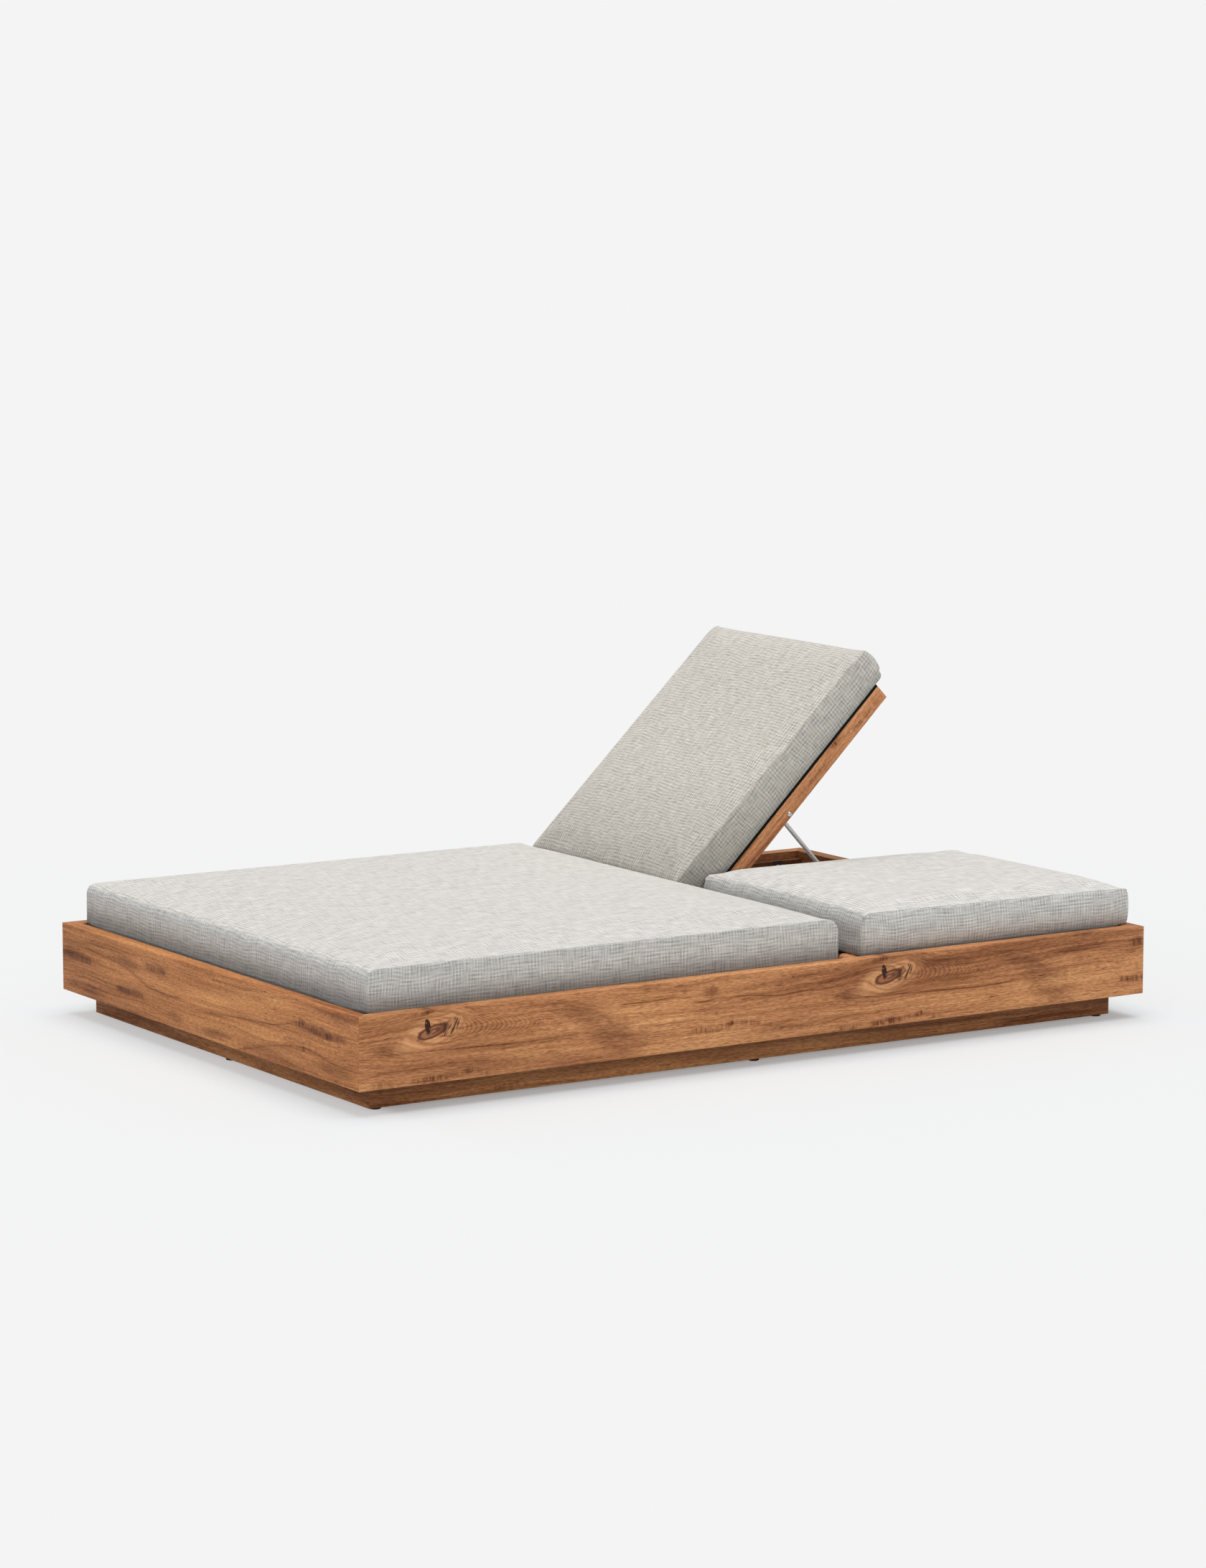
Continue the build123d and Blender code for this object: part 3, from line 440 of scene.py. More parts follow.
def teak(name, along="Y", raised=False, seed=0.0, tone=WHITE, marks=None, pitch=None, lit_below=None):
    """Oiled teak: flowing bands, veins, fibres, pores, marks across the grain and knots.

    along is the grain's axis, and raised turns it with the raised back. marks places the
    figure of one board. pitch (start, step) gives each slat of a row grain of its own.
    The last argument (low, high, colour) multiplies in a colour that fades out between two heights;
    the plinths use it as painted light that makes them lighter towards the floor.
    """
    net = Net(name)
    length, wide, deep = board_place(net, along, raised)
    marks = marks or {}
    shift = seed
    if pitch is not None:
        start, step = pitch
        index = net.math("FLOOR", net.mul(net.plus(deep, -start), 1.0 / step))
        shift = net.plus(net.mul(index, 3.71), seed)
    at_length, at_wide = length, wide
    if "repeat" in marks:
        at_length = net.math("FLOORED_MODULO", net.plus(length, RIM_Y), marks["repeat"])
    length = net.plus(length, shift)
    bend = net.plus(net.grain((length, wide, deep), 1.5, 5.0, 1.0), -0.5)
    wide = net.plus(wide, net.mul(bend, 0.050))
    bend = net.plus(net.noise(net.mul(length, 9.0), net.mul(wide, 20.0), shift, 2.0), -0.5)
    wide = net.plus(wide, net.mul(bend, 0.008))
    at_wide = net.plus(at_wide, net.mul(bend, 0.006))

    knots, arcs = [], []
    for knot in marks.get("knots", ()):
        push, rings, layers = knot_layers(net, at_length, at_wide, bend, knot)
        wide = net.plus(wide, push)
        arcs += rings
        knots.append(layers)
    place = (length, wide, deep)

    # Base colour from three sizes of grain, then clouds, hue and flecks.
    fine = net.grain(place, 3.2, 150.0, 3.0, 0.6)
    value = net.plus(net.mul(net.grain(place, 1.3, 17.0, 4.0, 0.55), 0.52), net.mul(fine, 0.30))
    value = net.plus(value, net.mul(net.grain(place, 16.0, 560.0, 2.0, 0.6), 0.18))
    color = net.ramp(value, *WOOD_STOPS)
    clouds = net.ease(net.grain(place, 2.4, 8.0), 0.54, 0.36, 0.0, 0.6)
    if "clouds" in marks:
        clouds = net.mul(clouds, 0.4)
        ragged = net.noise(net.mul(length, 14.0), net.mul(wide, 46.0), 2.0, 3.0, 0.6)
        ragged = net.ease(ragged, 0.25, 0.62, 0.35, 1.0)
        for middle, size, slope in marks["clouds"]:
            spot = patch(net, at_length, at_wide, middle, size, slope)
            clouds = net.math("MAXIMUM", clouds, net.mul(spot, ragged))
    color = net.mix(clouds, color, (0.61, 0.56, 0.54), "MULTIPLY")
    hue = net.noise(net.mul(length, 2.6), net.mul(wide, 14.0), net.plus(shift, 7.0), 2.0)
    color = net.mix(1.0, color, net.ramp(hue, *HUE_STOPS), "MULTIPLY")
    flecks = net.ramp(net.grain(place, 75.0, 400.0, 1.0, 0.6), *FLECK_STOPS)
    color = net.mix(1.0, color, flecks, "MULTIPLY")

    # Dark veins along the grain, and the board's own lines.
    veins = net.grain(place, 1.0, 12.0, 1.5)
    veins = net.ease(net.math("ABSOLUTE", net.plus(veins, -0.5)), 0.022, 0.003)
    along_veins = net.noise(net.mul(length, 3.2), net.mul(wide, 16.0), 5.0, 1.0)
    veins = net.mul(veins, net.ease(along_veins, 0.48, 0.62))
    if "lines" in marks:
        sharp, soft = drawn(net, at_length, at_wide, marks["lines"], (1.0, 0.2), (5.0, 0.5))
        veins = net.math("MAXIMUM", net.mul(veins, 0.35), sharp)
        color = net.mix(net.mul(soft, 0.50), color, (0.58, 0.49, 0.43), "MULTIPLY")
    broken = net.grain(place, 24.0, 300.0, 3.0, 0.7)
    veins = net.mul(veins, net.ease(broken, 0.32, 0.60, 0.45, 1.0))
    color = net.mix(net.mul(veins, 0.95), color, (0.36, 0.26, 0.21), "MULTIPLY")

    # Short ticks across the grain, in rows.
    strokes = net.ease(net.grain(place, 150.0, 26.0, 3.0, 0.6), 0.38, 0.62, 0.22, 1.0)
    rows = net.noise(net.mul(length, 4.6), net.mul(wide, 36.0), net.plus(shift, 4.0), 1.5)
    rows = net.mul(net.ease(rows, 0.60, 0.72), 0.4)
    if "rows" in marks:
        (placed,) = drawn(net, at_length, at_wide, marks["rows"], (1.25, 0.30))
        rows = net.math("MAXIMUM", net.mul(rows, 0.3), placed)
    color = net.mix(net.mul(strokes, rows), color, (0.30, 0.19, 0.14), "MULTIPLY")

    # Pores and small checks.
    pores = net.ease(net.grain(place, 34.0, 520.0, 1.0), 0.60, 0.72)
    color = net.mix(net.mul(pores, 0.45), color, (0.42, 0.34, 0.30), "MULTIPLY")
    checks = net.ease(net.grain(place, 20.0, 240.0), 0.655, 0.71)
    color = net.mix(net.mul(checks, 0.75), color, (0.36, 0.26, 0.22), "MULTIPLY")

    for layers in knots:
        color = knot_color(net, color, fine, arcs, layers)
    color = net.mix(1.0, color, tone, "MULTIPLY")
    # Painted light: the colour below makes the wood lighter towards the floor, fading out between
    # two heights.
    if lit_below:
        low, high, paler = lit_below
        above_floor = net.split(net.add("TexCoord").outputs["Object"])[2]
        color = net.mix(net.ease(above_floor, low, high, 1.0, 0.0), color, paler, "MULTIPLY")
    height = net.plus(net.mul(fine, 0.5), net.mul(pores, -0.5))
    for _, _, _, _, fan, split, _ in knots:
        height = net.plus(height, net.mul(net.math("MAXIMUM", fan, split), -0.4))
    return net.finish(
        Base_Color=color,
        Roughness=net.ease(fine, 0.3, 0.7, 0.62, 0.46),
        Specular_IOR_Level=0.18,
        Normal=net.bump(height, 0.35, 0.0006),
    )


def linen(name, tint, seams, foot=0.196, dim=None, pitch=0.0076, run=30.0, grid=0.066):
    """Linen weave of light and dark threads both ways, by the face that a point is on.

    tint multiplies the whole, and seams are the places across the cushion of its seam lines.
    foot is the height of the underside, above which the cloth is darker as painted shade. dim
    (start, end) fades a darker part of painted shade out towards the head. pitch is the weave's
    repeat in metres, run how fast a thread changes along itself, and grid how strongly the repeat
    shows.
    """
    net = Net(name)
    coords = net.add("TexCoord")
    x, y, z = net.split(coords.outputs["Object"])
    nx, ny, _ = net.split(coords.outputs["Normal"])
    side = net.math("GREATER_THAN", net.math("ABSOLUTE", nx), 0.72)
    end = net.math("GREATER_THAN", net.math("ABSOLUTE", ny), 0.72)
    rise = net.math("MAXIMUM", side, end)
    u = net.plus(net.mul(x, net.math("SUBTRACT", 1.0, side)), net.mul(y, side))
    v = net.plus(net.mul(y, net.math("SUBTRACT", 1.0, rise)), net.mul(z, rise))
    layer = net.plus(net.mul(side, 3.3), net.mul(end, 7.1))

    # Single threads, and the weave's repeat, strong in some places and faint in others.
    weft = net.noise(net.mul(u, run), net.mul(v, 360.0), layer, 0.0)
    warp = net.noise(net.mul(u, 360.0), net.mul(v, run), net.plus(layer, 1.7), 0.0)
    sway = net.noise(net.mul(u, 14.0), net.mul(v, 14.0), net.plus(layer, 3.1), 0.0)
    sway = net.mul(sway, 0.014)
    repeats = []
    for across, offset in ((v, 4.9), (u, 6.3)):
        strong = net.noise(net.mul(u, 60.0), net.mul(v, 60.0), net.plus(layer, offset), 0.0)
        wave = net.math("SINE", net.mul(net.plus(across, sway), 2.0 * pi / pitch))
        repeats.append(net.mul(wave, net.ease(strong, 0.30, 0.65, 0.25, 1.0)))
    repeat = net.plus(*repeats)
    clouds = net.noise(net.mul(u, 11.0), net.mul(v, 11.0), net.plus(layer, 11.0), 2.0)
    value = net.plus(net.plus(net.mul(weft, 0.22), net.mul(warp, 0.22)), 0.258)
    value = net.plus(value, net.mul(repeat, grid))
    value = net.plus(value, net.mul(clouds, 0.02))
    color = net.ramp(value, *LINEN_STOPS)
    color = net.mix(1.0, color, tint, "MULTIPLY")

    # Painted shade: darker sides and ends, a darker part that fades out towards the head, and
    # darker cloth just above the underside.
    face = net.mix(side, WHITE, (0.920, 0.936, 0.938))
    face = net.mix(end, face, (0.865, 0.880, 0.890))
    color = net.mix(1.0, color, face, "MULTIPLY")
    if dim:
        low = net.ease(y, dim[0], dim[1], 1.0, 0.0)
        color = net.mix(low, color, (0.80, 0.80, 0.80), "MULTIPLY")
    low = net.ease(z, foot + 0.004, foot + 0.066)
    shade = net.ramp(low, (0.0, (0.45, 0.48, 0.50)), (1.0, WHITE))
    color = net.mix(1.0, color, shade, "MULTIPLY")

    gaps = [net.math("ABSOLUTE", net.plus(x, -place)) for place in seams]
    gap = net.math("MINIMUM", *gaps)
    line = net.mul(net.ease(gap, 0.0018, 0.0006), net.math("SUBTRACT", 1.0, side))
    color = net.mix(net.mul(line, 0.70), color, (0.42, 0.42, 0.42), "MULTIPLY")
    height = net.plus(net.plus(weft, warp), net.mul(repeat, 0.3))
    return net.finish(
        Base_Color=color,
        Roughness=0.92,
        Specular_IOR_Level=0.12,
        Sheen_Weight=0.10,
        Sheen_Roughness=0.6,
        Normal=net.bump(height, 0.35, 0.0005),
    )


def steel(name, shade, roughness, metallic=1.0):
    """Bright drawn steel with faint lengthwise marks and small specks."""
    net = Net(name)
    x, y, z = net.split(net.add("TexCoord").outputs["Object"])
    marks = net.noise(net.mul(x, 900.0), net.mul(y, 260.0), net.mul(z, 260.0), 3.0)
    specks = net.noise(net.mul(x, 260.0), net.mul(y, 260.0), net.mul(z, 260.0), 2.0)
    color = net.ramp(marks, (0.3, tuple(c * 0.86 for c in shade)), (0.7, shade))
    rough = net.ease(specks, 0.35, 0.65, roughness * 0.8, roughness * 1.25)
    return net.finish(
        Base_Color=color, Metallic=metallic, Roughness=rough, Normal=net.bump(marks, 0.15, 0.0002)
    )


def black(name, shade, roughness, grain):
    """Matt black plastic or sheet with a fine grain."""
    net = Net(name)
    x, y, z = net.split(net.add("TexCoord").outputs["Object"])
    dots = net.noise(net.mul(x, grain), net.mul(y, grain), net.mul(z, grain), 3.0)
    color = net.ramp(dots, (0.35, (shade * 0.7,) * 3), (0.65, (shade * 1.4,) * 3))
    return net.finish(
        Base_Color=color, Roughness=roughness, Specular_IOR_Level=0.3,
        Normal=net.bump(dots, 0.3, 0.0004),
    )


def paint(material, *names):
    """Gives CAD nodes a material."""
    for name in names:
        data = NODES[name].data
        data.materials.clear()
        data.materials.append(material)
        for face in data.polygons:
            face.material_index = 0


def grid_lines(low, high, step, fine):
    """Places from low to high, closer together near both ends."""
    edge = [value for value in fine if value < (high - low) * 0.45]
    inner_low, inner_high = low + edge[-1], high - edge[-1]
    count = max(2, round((inner_high - inner_low) / step))
    middle = [inner_low + (inner_high - inner_low) * i / count for i in range(1, count)]
    return [low + e for e in edge] + middle + [high - e for e in reversed(edge)]


def box_grid(xs, ys, zs):
    """Points and quads of a box surface with the given grid lines."""
    index, points, quads = {}, [], []

    def at(i, j, k):
        key = (i, j, k)
        if key not in index:
            index[key] = len(points)
            points.append((xs[i], ys[j], zs[k]))
        return index[key]

    nx, ny, nz = len(xs) - 1, len(ys) - 1, len(zs) - 1
    for i in range(nx):
        for j in range(ny):
            quads.append((at(i, j, 0), at(i, j + 1, 0), at(i + 1, j + 1, 0), at(i + 1, j, 0)))
            quads.append((at(i, j, nz), at(i + 1, j, nz), at(i + 1, j + 1, nz), at(i, j + 1, nz)))
    for i in range(nx):
        for k in range(nz):
            quads.append((at(i, 0, k), at(i + 1, 0, k), at(i + 1, 0, k + 1), at(i, 0, k + 1)))
            quads.append((at(i, ny, k), at(i, ny, k + 1), at(i + 1, ny, k + 1), at(i + 1, ny, k)))
    for j in range(ny):
        for k in range(nz):
            quads.append((at(0, j, k), at(0, j, k + 1), at(0, j + 1, k + 1), at(0, j + 1, k)))
            quads.append((at(nx, j, k), at(nx, j + 1, k), at(nx, j + 1, k + 1), at(nx, j, k + 1)))
    return np.array(points), quads


def smooth(t):
    """0 to 1 with soft ends."""
    t = np.clip(t, 0.0, 1.0)
    return t * t * (3 - 2 * t)


def shape_cushion(points, low, high, corners, crown, fall, bulge, bow):
    """Turns points of a box into a cushion: rounded ends, crowned top, full sides.

    Each corner is (foot or head end -1 or 1, bottom or top -1 or 1, radius along, radius up).
    fall tilts the top. bulge is (sides, ends, height of the fullest part). bow moves the foot
    end out, then the head end at its middle and top, and lowers the head end.
    """
    p = points.copy()
    (x0, y0, z0), (x1, y1, z1) = low, high
    for end, level, ry, rz in corners:
        edge_y = y0 if end < 0 else y1
        edge_z = z0 if level < 0 else z1
        dy = np.clip((end * (p[:, 1] - edge_y) + ry) / ry, 0, None)
        dz = np.clip((level * (p[:, 2] - edge_z) + rz) / rz, 0, None)
        inside = (dy > 0) & (dz > 0)
        longest, length = np.maximum(dy, dz), np.hypot(dy, dz)
        k = np.where(inside, longest / np.maximum(length, 1e-9), 1.0)
        p[:, 1] = np.where(inside, edge_y + end * (dy * k - 1) * ry, p[:, 1])
        p[:, 2] = np.where(inside, edge_z + level * (dz * k - 1) * rz, p[:, 2])
    xc, yc, zc = (x0 + x1) / 2, (y0 + y1) / 2, (z0 + z1) / 2
    # The bow takes in the last 8 hundredths of the half length, the lowering the last tenth.
    over = smooth(np.abs(p[:, 1] - yc) / (y1 - yc) * 12.5 - 11.5)
    up = (p[:, 2] - zc) / (z1 - zc)
    over *= np.where(p[:, 1] < yc, -bow[0], bow[1] * (1 - up**2) + bow[2] * (1 + up) / 2)
    p[:, 1] += over
    late = np.clip((p[:, 1] - yc) / (y1 - yc) * 10 - 9, 0, 1.2)
    p[:, 2] -= bow[3] * late**2 * (1 + up) / 2
    xx, yy = (p[:, 0] - xc) / (x1 - xc), (p[:, 1] - yc) / (y1 - yc)
    zz = np.clip((p[:, 2] - zc) / (z1 - zc), -1, 1)
    # Both long edges round down into the side seams, less so below.
    from_side = np.minimum(p[:, 0] - x0, x1 - p[:, 0])
    drop = SEAM - np.sqrt(np.maximum(SEAM**2 - np.clip(SEAM - from_side, 0, SEAM) ** 2, 0))
    drop *= np.where(p[:, 2] < zc, 0.35, 1.0)
    p[:, 1] = yc + (p[:, 1] - yc) * (1 - drop / (y1 - yc))
    p[:, 2] = zc + (p[:, 2] - zc) * (1 - drop / (z1 - zc))
    # Crown and fall of the top, then the full sides and ends.
    rise = crown * (1 - np.abs(xx) ** 9) * (1 - np.abs(yy) ** 9) - fall * yy
    p[:, 2] += rise * np.clip(zz, 0, 1)
    middle = (1 + bulge[2]) / 2
    full = 1 - ((zz - middle) / (1 - middle)) ** 2
    side = smooth((np.abs(xx) - 0.9) / 0.1) * (1 - np.abs(yy) ** 14)
    p[:, 0] += np.sign(xx) * side * bulge[0] * full
    end = smooth((np.abs(yy) - 0.9) / 0.1) * (1 - np.abs(xx) ** 14)
    p[:, 1] += np.sign(yy) * end * bulge[1] * full
    return p


def round_plan(points, low, high, radius):
    """Rounds the four upright corners as seen from above."""
    p = points.copy()
    half = np.array([(high[0] - low[0]) / 2, (high[1] - low[1]) / 2])
    centre = np.array([(high[0] + low[0]) / 2, (high[1] + low[1]) / 2])
    local = p[:, :2] - centre
    over = np.clip(np.abs(local) - (half - radius), 0, None) / radius
    inside = (over > 0).all(axis=1)
    longest, length = over.max(axis=1), np.hypot(over[:, 0], over[:, 1])
    k = np.where(inside, longest / np.maximum(length, 1e-9), 1.0)[:, None]
    moved = np.sign(local) * (half - radius + over * k * radius)
    p[:, :2] = np.where(inside[:, None], moved + centre, p[:, :2])
    return p


def make_object(name, points, faces, material):
    """A mesh object from points and faces, smooth shaded."""
    data = bpy.data.meshes.new(name)
    data.from_pydata([tuple(p) for p in points], [], faces)
    data.update()
    data.materials.append(material)
    data.polygons.foreach_set("use_smooth", [True] * len(data.polygons))
    made = bpy.data.objects.new(name, data)
    bpy.context.collection.objects.link(made)
    return made


def puffed(points, faces):
    """How far a cloth simulation under slight pressure moves each point."""
    shell = make_object("shell", points, faces, bpy.data.materials["linen_seat"])
    remesh = shell.modifiers.new("remesh", "REMESH")
    remesh.mode = "VOXEL"
    remesh.voxel_size = PUFF_VOXEL
    graph = bpy.context.evaluated_depsgraph_get()
    data = bpy.data.meshes.new_from_object(shell.evaluated_get(graph))
    bpy.data.objects.remove(shell)
    cloth_object = bpy.data.objects.new("cloth", data)
    bpy.context.collection.objects.link(cloth_object)
    rest = np.array([v.co for v in data.vertices])
    polygons = [tuple(f.vertices) for f in data.polygons]

    # The underside is held, and the rest is blown up a little.
    held = cloth_object.vertex_groups.new(name="held")
    lows = rest[:, 2] < rest[:, 2].min() + PUFF_HELD
    held.add([int(i) for i in np.nonzero(lows)[0]], 1.0, "REPLACE")
    cloth = cloth_object.modifiers.new("cloth", "CLOTH")
    cloth.settings.vertex_group_mass = "held"
    cloth.settings.use_pressure = True
    cloth.settings.uniform_pressure_force = PUFF_PRESSURE
    cloth.settings.quality = 4
    cloth.settings.mass = 0.25
    cloth.settings.tension_stiffness = 22.0
    cloth.settings.compression_stiffness = 22.0
    cloth.settings.shear_stiffness = 6.0
    cloth.settings.bending_stiffness = 0.4
    cloth.settings.effector_weights.gravity = 0.0
    cloth.collision_settings.use_collision = False
    scene = bpy.context.scene
    for number in range(1, PUFF_FRAMES + 1):
        scene.frame_set(number)
    graph = bpy.context.evaluated_depsgraph_get()
    moved = cloth_object.evaluated_get(graph).to_mesh()
    after = np.array([v.co for v in moved.vertices])
    scene.frame_set(1)

    # Moves are capped, and passed on to the points through the nearest face.
    shift = after - rest
    size = np.linalg.norm(shift, axis=1, keepdims=True)
    shift *= PUFF_CAP * np.tanh(size / PUFF_CAP) / np.maximum(size, 1e-9)
    tree = BVHTree.FromPolygons([Vector(p) for p in rest], polygons)
    out = np.zeros_like(points)
    for number, point in enumerate(points):
        near, _, face, _ = tree.find_nearest(Vector(point))
        corners = list(polygons[face])
        weights = 1.0 / (np.linalg.norm(rest[corners] - np.array(near), axis=1) + 1e-5)
        out[number] = (shift[corners] * weights[:, None]).sum(0) / weights.sum()
    bpy.data.objects.remove(cloth_object)
    return out


def cushion(name, node, body, low, high, corners, crown, fall, bulge, plan, material,
            bow=(0.0, 0.0, 0.0, 0.0), sag=0.0, raised=False):
    """A sewn cushion: one long panel round the ends and a panel on each side.

    plan is the radius of the upright corners and sag how far the underside hangs where
    nothing carries it. The other measures are those of shape_cushion.
    """
    xs = grid_lines(low[0], high[0], GRID_STEP, FINE_SIDES)
    ys = grid_lines(low[1], high[1], GRID_STEP, FINE_ENDS)
    zs = grid_lines(low[2], high[2], GRID_STEP_UP, FINE_ENDS)
    box_points, faces = box_grid(xs, ys, zs)
    points = round_plan(box_points, low, high, plan)
    points = shape_cushion(points, low, high, corners, crown, fall, bulge, bow)
    under = smooth((np.abs(points[:, 0]) - PAD_EDGE_X) / 0.005)
    under = np.maximum(under, smooth((PAD_FOOT_Y - points[:, 1]) / 0.003))
    under *= smooth((HEAD_BOARD_Y - points[:, 1]) / 0.006)
    lower = np.clip((low[2] + SAG_HEIGHT - points[:, 2]) / SAG_HEIGHT, 0, 1)
    points[:, 2] -= sag * under * lower
    shift = puffed(points, faces)
    keep = smooth(np.minimum(box_points[:, 0] - low[0], high[0] - box_points[:, 0]) / 0.02)
    points += shift * keep[:, None]
    points[:, 2] = np.maximum(points[:, 2], low[2] - sag * under)
    made = make_object(name, points, faces, material)
    if raised:
        made.matrix_world = RAISE
    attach(made, body)
    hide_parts(node)
    return made


def ground():
    """A pale floor that fades into the backdrop, with a faint bluish tint by the lounger, painted
    to cancel the warm light the wood throws on it.
    """
    net = Net("floor")
    x, y, _ = net.split(net.add("TexCoord").outputs["Object"])
    away = net.math("SQRT", net.plus(net.mul(x, x), net.mul(y, y)))
    beside = net.math(
        "MAXIMUM",
        net.plus(net.math("ABSOLUTE", x), -0.60),
        net.plus(net.math("ABSOLUTE", y), -0.93),
    )
    tint = net.mix(net.ease(beside, 0.0, 0.28), FLOOR_TINT_NEAR, FLOOR_TINT_FAR)
    plain = net.add("BsdfDiffuse", {"Color": tint, "Roughness": 0.0}).outputs[0]
    glow_feeds = {"Color": (BACKDROP, BACKDROP, BACKDROP, 1.0), "Strength": 1.0}
    glow = net.add("Emission", glow_feeds).outputs[0]
    seen = net.add("LightPath").outputs["Is Camera Ray"]

    # The backdrop's colour shows more in front of the foot board, and fully far away. Near the
    # lounger
    # this is painted light on the floor: its shadow lighter, most in front of the foot board.
    near = net.ease(y, -0.95, -0.88, 0.53, 0.32)
    share = net.mul(net.ease(away, 1.0, 3.2, near, 1.0), seen)
    both = net.add("MixShader", {0: share, 1: plain, 2: glow}).outputs[0]
    net.add("OutputMaterial", {0: both})
    data = bpy.data.meshes.new("floor")
    half = FLOOR_HALF
    corners = [(-half, -half, 0), (half, -half, 0), (half, half, 0), (-half, half, 0)]
    data.from_pydata(corners, [], [(0, 1, 2, 3)])
    data.materials.append(net.material)
    floor = bpy.data.objects.new("floor", data)
    bpy.context.collection.objects.link(floor)


def lights():
    """An even world, seen as the backdrop, and a wide sun almost straight above."""
    world = bpy.data.worlds.new("studio")
    world.use_nodes = True
    tree = world.node_tree
    tree.nodes.clear()
    seen = tree.nodes.new("ShaderNodeBackground")
    seen.inputs[0].default_value = (BACKDROP, BACKDROP, BACKDROP, 1.0)
    lit = tree.nodes.new("ShaderNodeBackground")
    lit.inputs[0].default_value = (1.0, 1.0, 1.0, 1.0)
    lit.inputs[1].default_value = WORLD_LIGHT
    path = tree.nodes.new("ShaderNodeLightPath")
    pick = tree.nodes.new("ShaderNodeMixShader")
    out = tree.nodes.new("ShaderNodeOutputWorld")
    tree.links.new(path.outputs["Is Camera Ray"], pick.inputs[0])
    tree.links.new(lit.outputs[0], pick.inputs[1])
    tree.links.new(seen.outputs[0], pick.inputs[2])
    tree.links.new(pick.outputs[0], out.inputs[0])
    bpy.context.scene.world = world

    lamp = bpy.data.lights.new("key", "SUN")
    lamp.energy = SUN_LIGHT
    lamp.angle = SUN_WIDE
    sun = bpy.data.objects.new("key", lamp)
    sun.rotation_euler = Vector(SUN_AIM).to_track_quat("-Z", "Y").to_euler()
    bpy.context.collection.objects.link(sun)
    bpy.context.scene.view_settings.view_transform = "Standard"


camera()
ground()
lights()

paint(teak("teak_rim_left", tone=(1.015, 1.03, 1.03), marks=RAIL_MARKS), "rim_left")
# The right board is toned darker all over: painted shade for its inner face, in the shade inside
# the frame.
paint(teak("teak_rim_right", seed=5.3, tone=(0.80, 0.81, 0.82)), "rim_right")
paint(teak("teak_rim_foot", "X", seed=11.7, tone=(1.005, 0.960, 0.800), marks=FOOT_MARKS),
      "rim_foot")
# The head board is toned darker all over: painted shade for its inner face, in the shade inside the
# frame.
paint(teak("teak_rim_head", "X", seed=17.9, tone=(0.66, 0.66, 0.66)), "rim_head")
# The plinths are toned darker as painted shade under the rim's overhang, and lighter towards the
# floor as painted light.
paint(teak("teak_plinth_sides", seed=23.1, tone=PLINTH_SHADE, lit_below=PLINTH_LIT_BELOW), "plinth_left", "plinth_right")
paint(teak("teak_plinth_ends", "X", seed=29.4, tone=PLINTH_SHADE, lit_below=PLINTH_LIT_BELOW), "plinth_foot", "plinth_head")
paint(teak("teak_inside_long", seed=31.2, tone=INSIDE_SHADE), "ledger_left", "ledger_right",
      "seat_bearer_left", "seat_bearer_right", "seat_bearer_centre", "back_centre_beam",
      "left_inner_rack", "left_outer_rack", "right_inner_rack", "right_outer_rack")
paint(teak("teak_inside_cross", "X", seed=37.7, tone=INSIDE_SHADE), "ledger_foot", "ledger_head",
      "hinge_beam", "cross_bearer_seat", "cross_bearer_middle", "cross_bearer_prop",
      "cross_bearer_head")
paint(teak("teak_blocks", "Z", seed=41.0, tone=INSIDE_SHADE), "corner_blocks")
paint(teak("teak_seat_slats", "X", seed=43.0, tone=INSIDE_SHADE, pitch=(-0.9375, 0.08686)), "seat_slats")
paint(teak("teak_left_rails", seed=47.3, tone=RAILS), "left_inner_rail", "left_outer_rail")
paint(teak("teak_right_rails", raised=True, seed=53.9, tone=RAILS, marks=RAISED_MARKS),
      "right_inner_rail", "right_outer_rail")
for side, raised, bar_seed, slat_seed in (("left", False, 59.1, 67.3), ("right", True, 61.7, 71.9)):
    paint(teak(f"teak_{side}_bars", "X", raised, bar_seed, INSIDE_SHADE), f"{side}_back_foot_bar",
          f"{side}_back_head_bar")
    paint(teak(f"teak_{side}_slats", "X", raised, slat_seed, INSIDE_SHADE, pitch=(0.328, 0.0831)),
          f"{side}_back_slats")
paint(steel("steel_prop", (0.95, 0.95, 0.95), 0.26, 0.4), "left_prop", "right_prop")
paint(steel("steel_angles", (0.16, 0.17, 0.19), 0.40), "hinge_brackets", "rest_angle_left",
      "rest_angle_right")
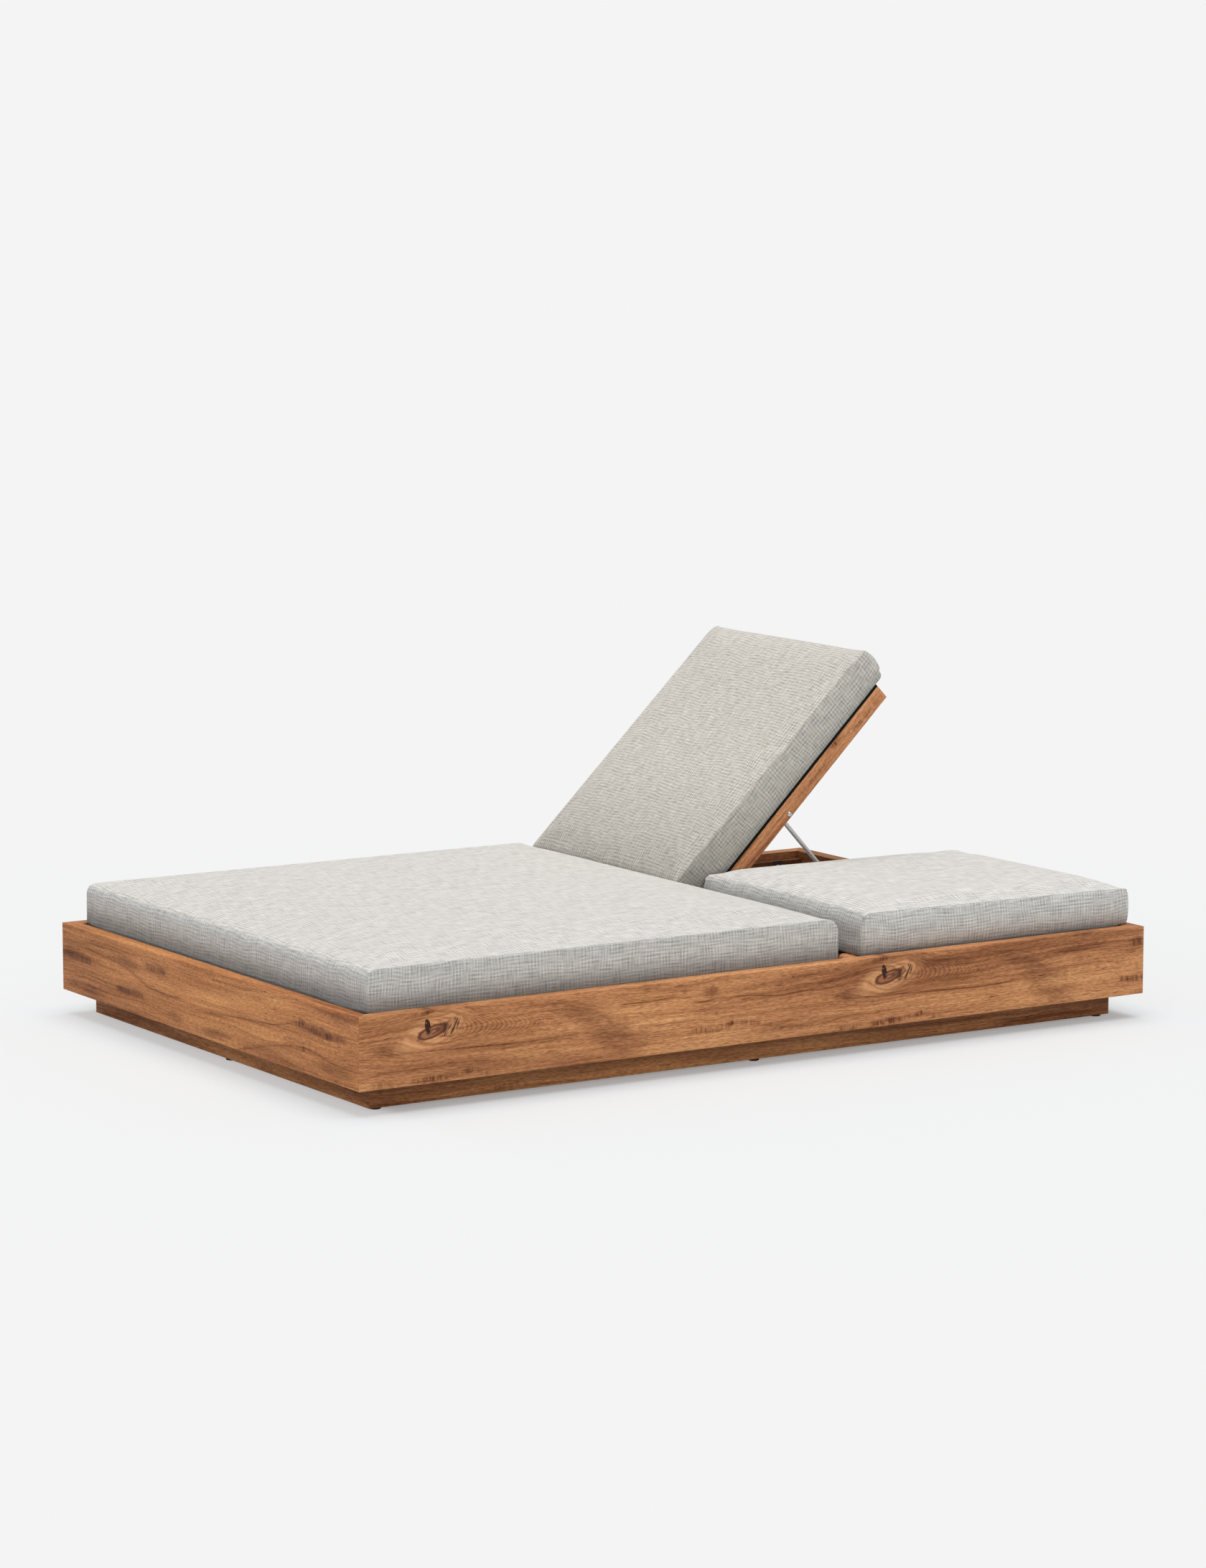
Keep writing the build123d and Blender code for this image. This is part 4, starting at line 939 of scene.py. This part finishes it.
paint(steel("steel_parts", (0.80, 0.80, 0.80), 0.28), "hinge_bolts", "hinge_nuts", "frame_screws",
      "left_prop_bolts", "right_prop_bolts",
      "left_prop_nuts", "right_prop_nuts", "left_prop_spacers", "right_prop_spacers")
paint(black("glide_black", 0.010, 0.55, 900.0), "glides")
paint(black("liner_black", 0.002, 0.95, 1500.0), "left_back_liner", "right_back_liner")

cushion(
    "seat_cushion_cover", "seat_cushion", "base",
    (-0.6305, -0.9585, 0.196), (0.6305, 0.1985, 0.2925),
    corners=((-1, 1, 0.022, 0.022), (1, 1, 0.034, 0.029),
             (-1, -1, 0.010, 0.014), (1, -1, 0.012, 0.014)),
    crown=0.0125, fall=0.001, bulge=(0.002, 0.004, -2.0), plan=0.006,
    material=linen("linen_seat", (1.02, 1.02, 1.02), (-0.6300, 0.6300)),
)
cushion(
    "left_back_cushion_cover", "left_back_cushion", "left_back",
    (0.006, 0.261, 0.2055), (0.625, 0.989, 0.2895),
    corners=((-1, 1, 0.022, 0.036), (1, 1, 0.010, 0.011),
             (-1, -1, 0.002, 0.002), (1, -1, 0.008, 0.010)),
    crown=0.0145, fall=0.0035, bulge=(0.0055, 0.003, -1.0), plan=0.012,
    material=linen("linen_left", (1.045, 1.050, 1.055), (0.0065, 0.6235), foot=0.178),
    bow=(0.0, 0.005, 0.0, 0.003), sag=0.0045,
)
cushion(
    "right_back_cushion_cover", "right_back_cushion", "right_back",
    (-0.625, 0.262, 0.2055), (-0.006, 0.9980, 0.2900),
    corners=((-1, 1, 0.030, 0.042), (1, 1, 0.007, 0.007),
             (-1, -1, 0.003, 0.003), (1, -1, 0.022, 0.024)),
    crown=0.010, fall=0.0025, bulge=(0.0055, 0.003, -1.0), plan=0.024,
    # The raised cushion's cloth is tinted darker and more olive than the others, and dimmer towards
    # its foot: painted shade on its raised face.
    material=linen("linen_right", (0.970, 0.956, 0.914), (-0.0065, -0.6235), foot=0.175,
                   dim=(0.26, 0.62), pitch=0.0082, run=45.0, grid=0.074),
    bow=(0.0, 0.010, 0.005, 0.006), sag=0.0008, raised=True,
)
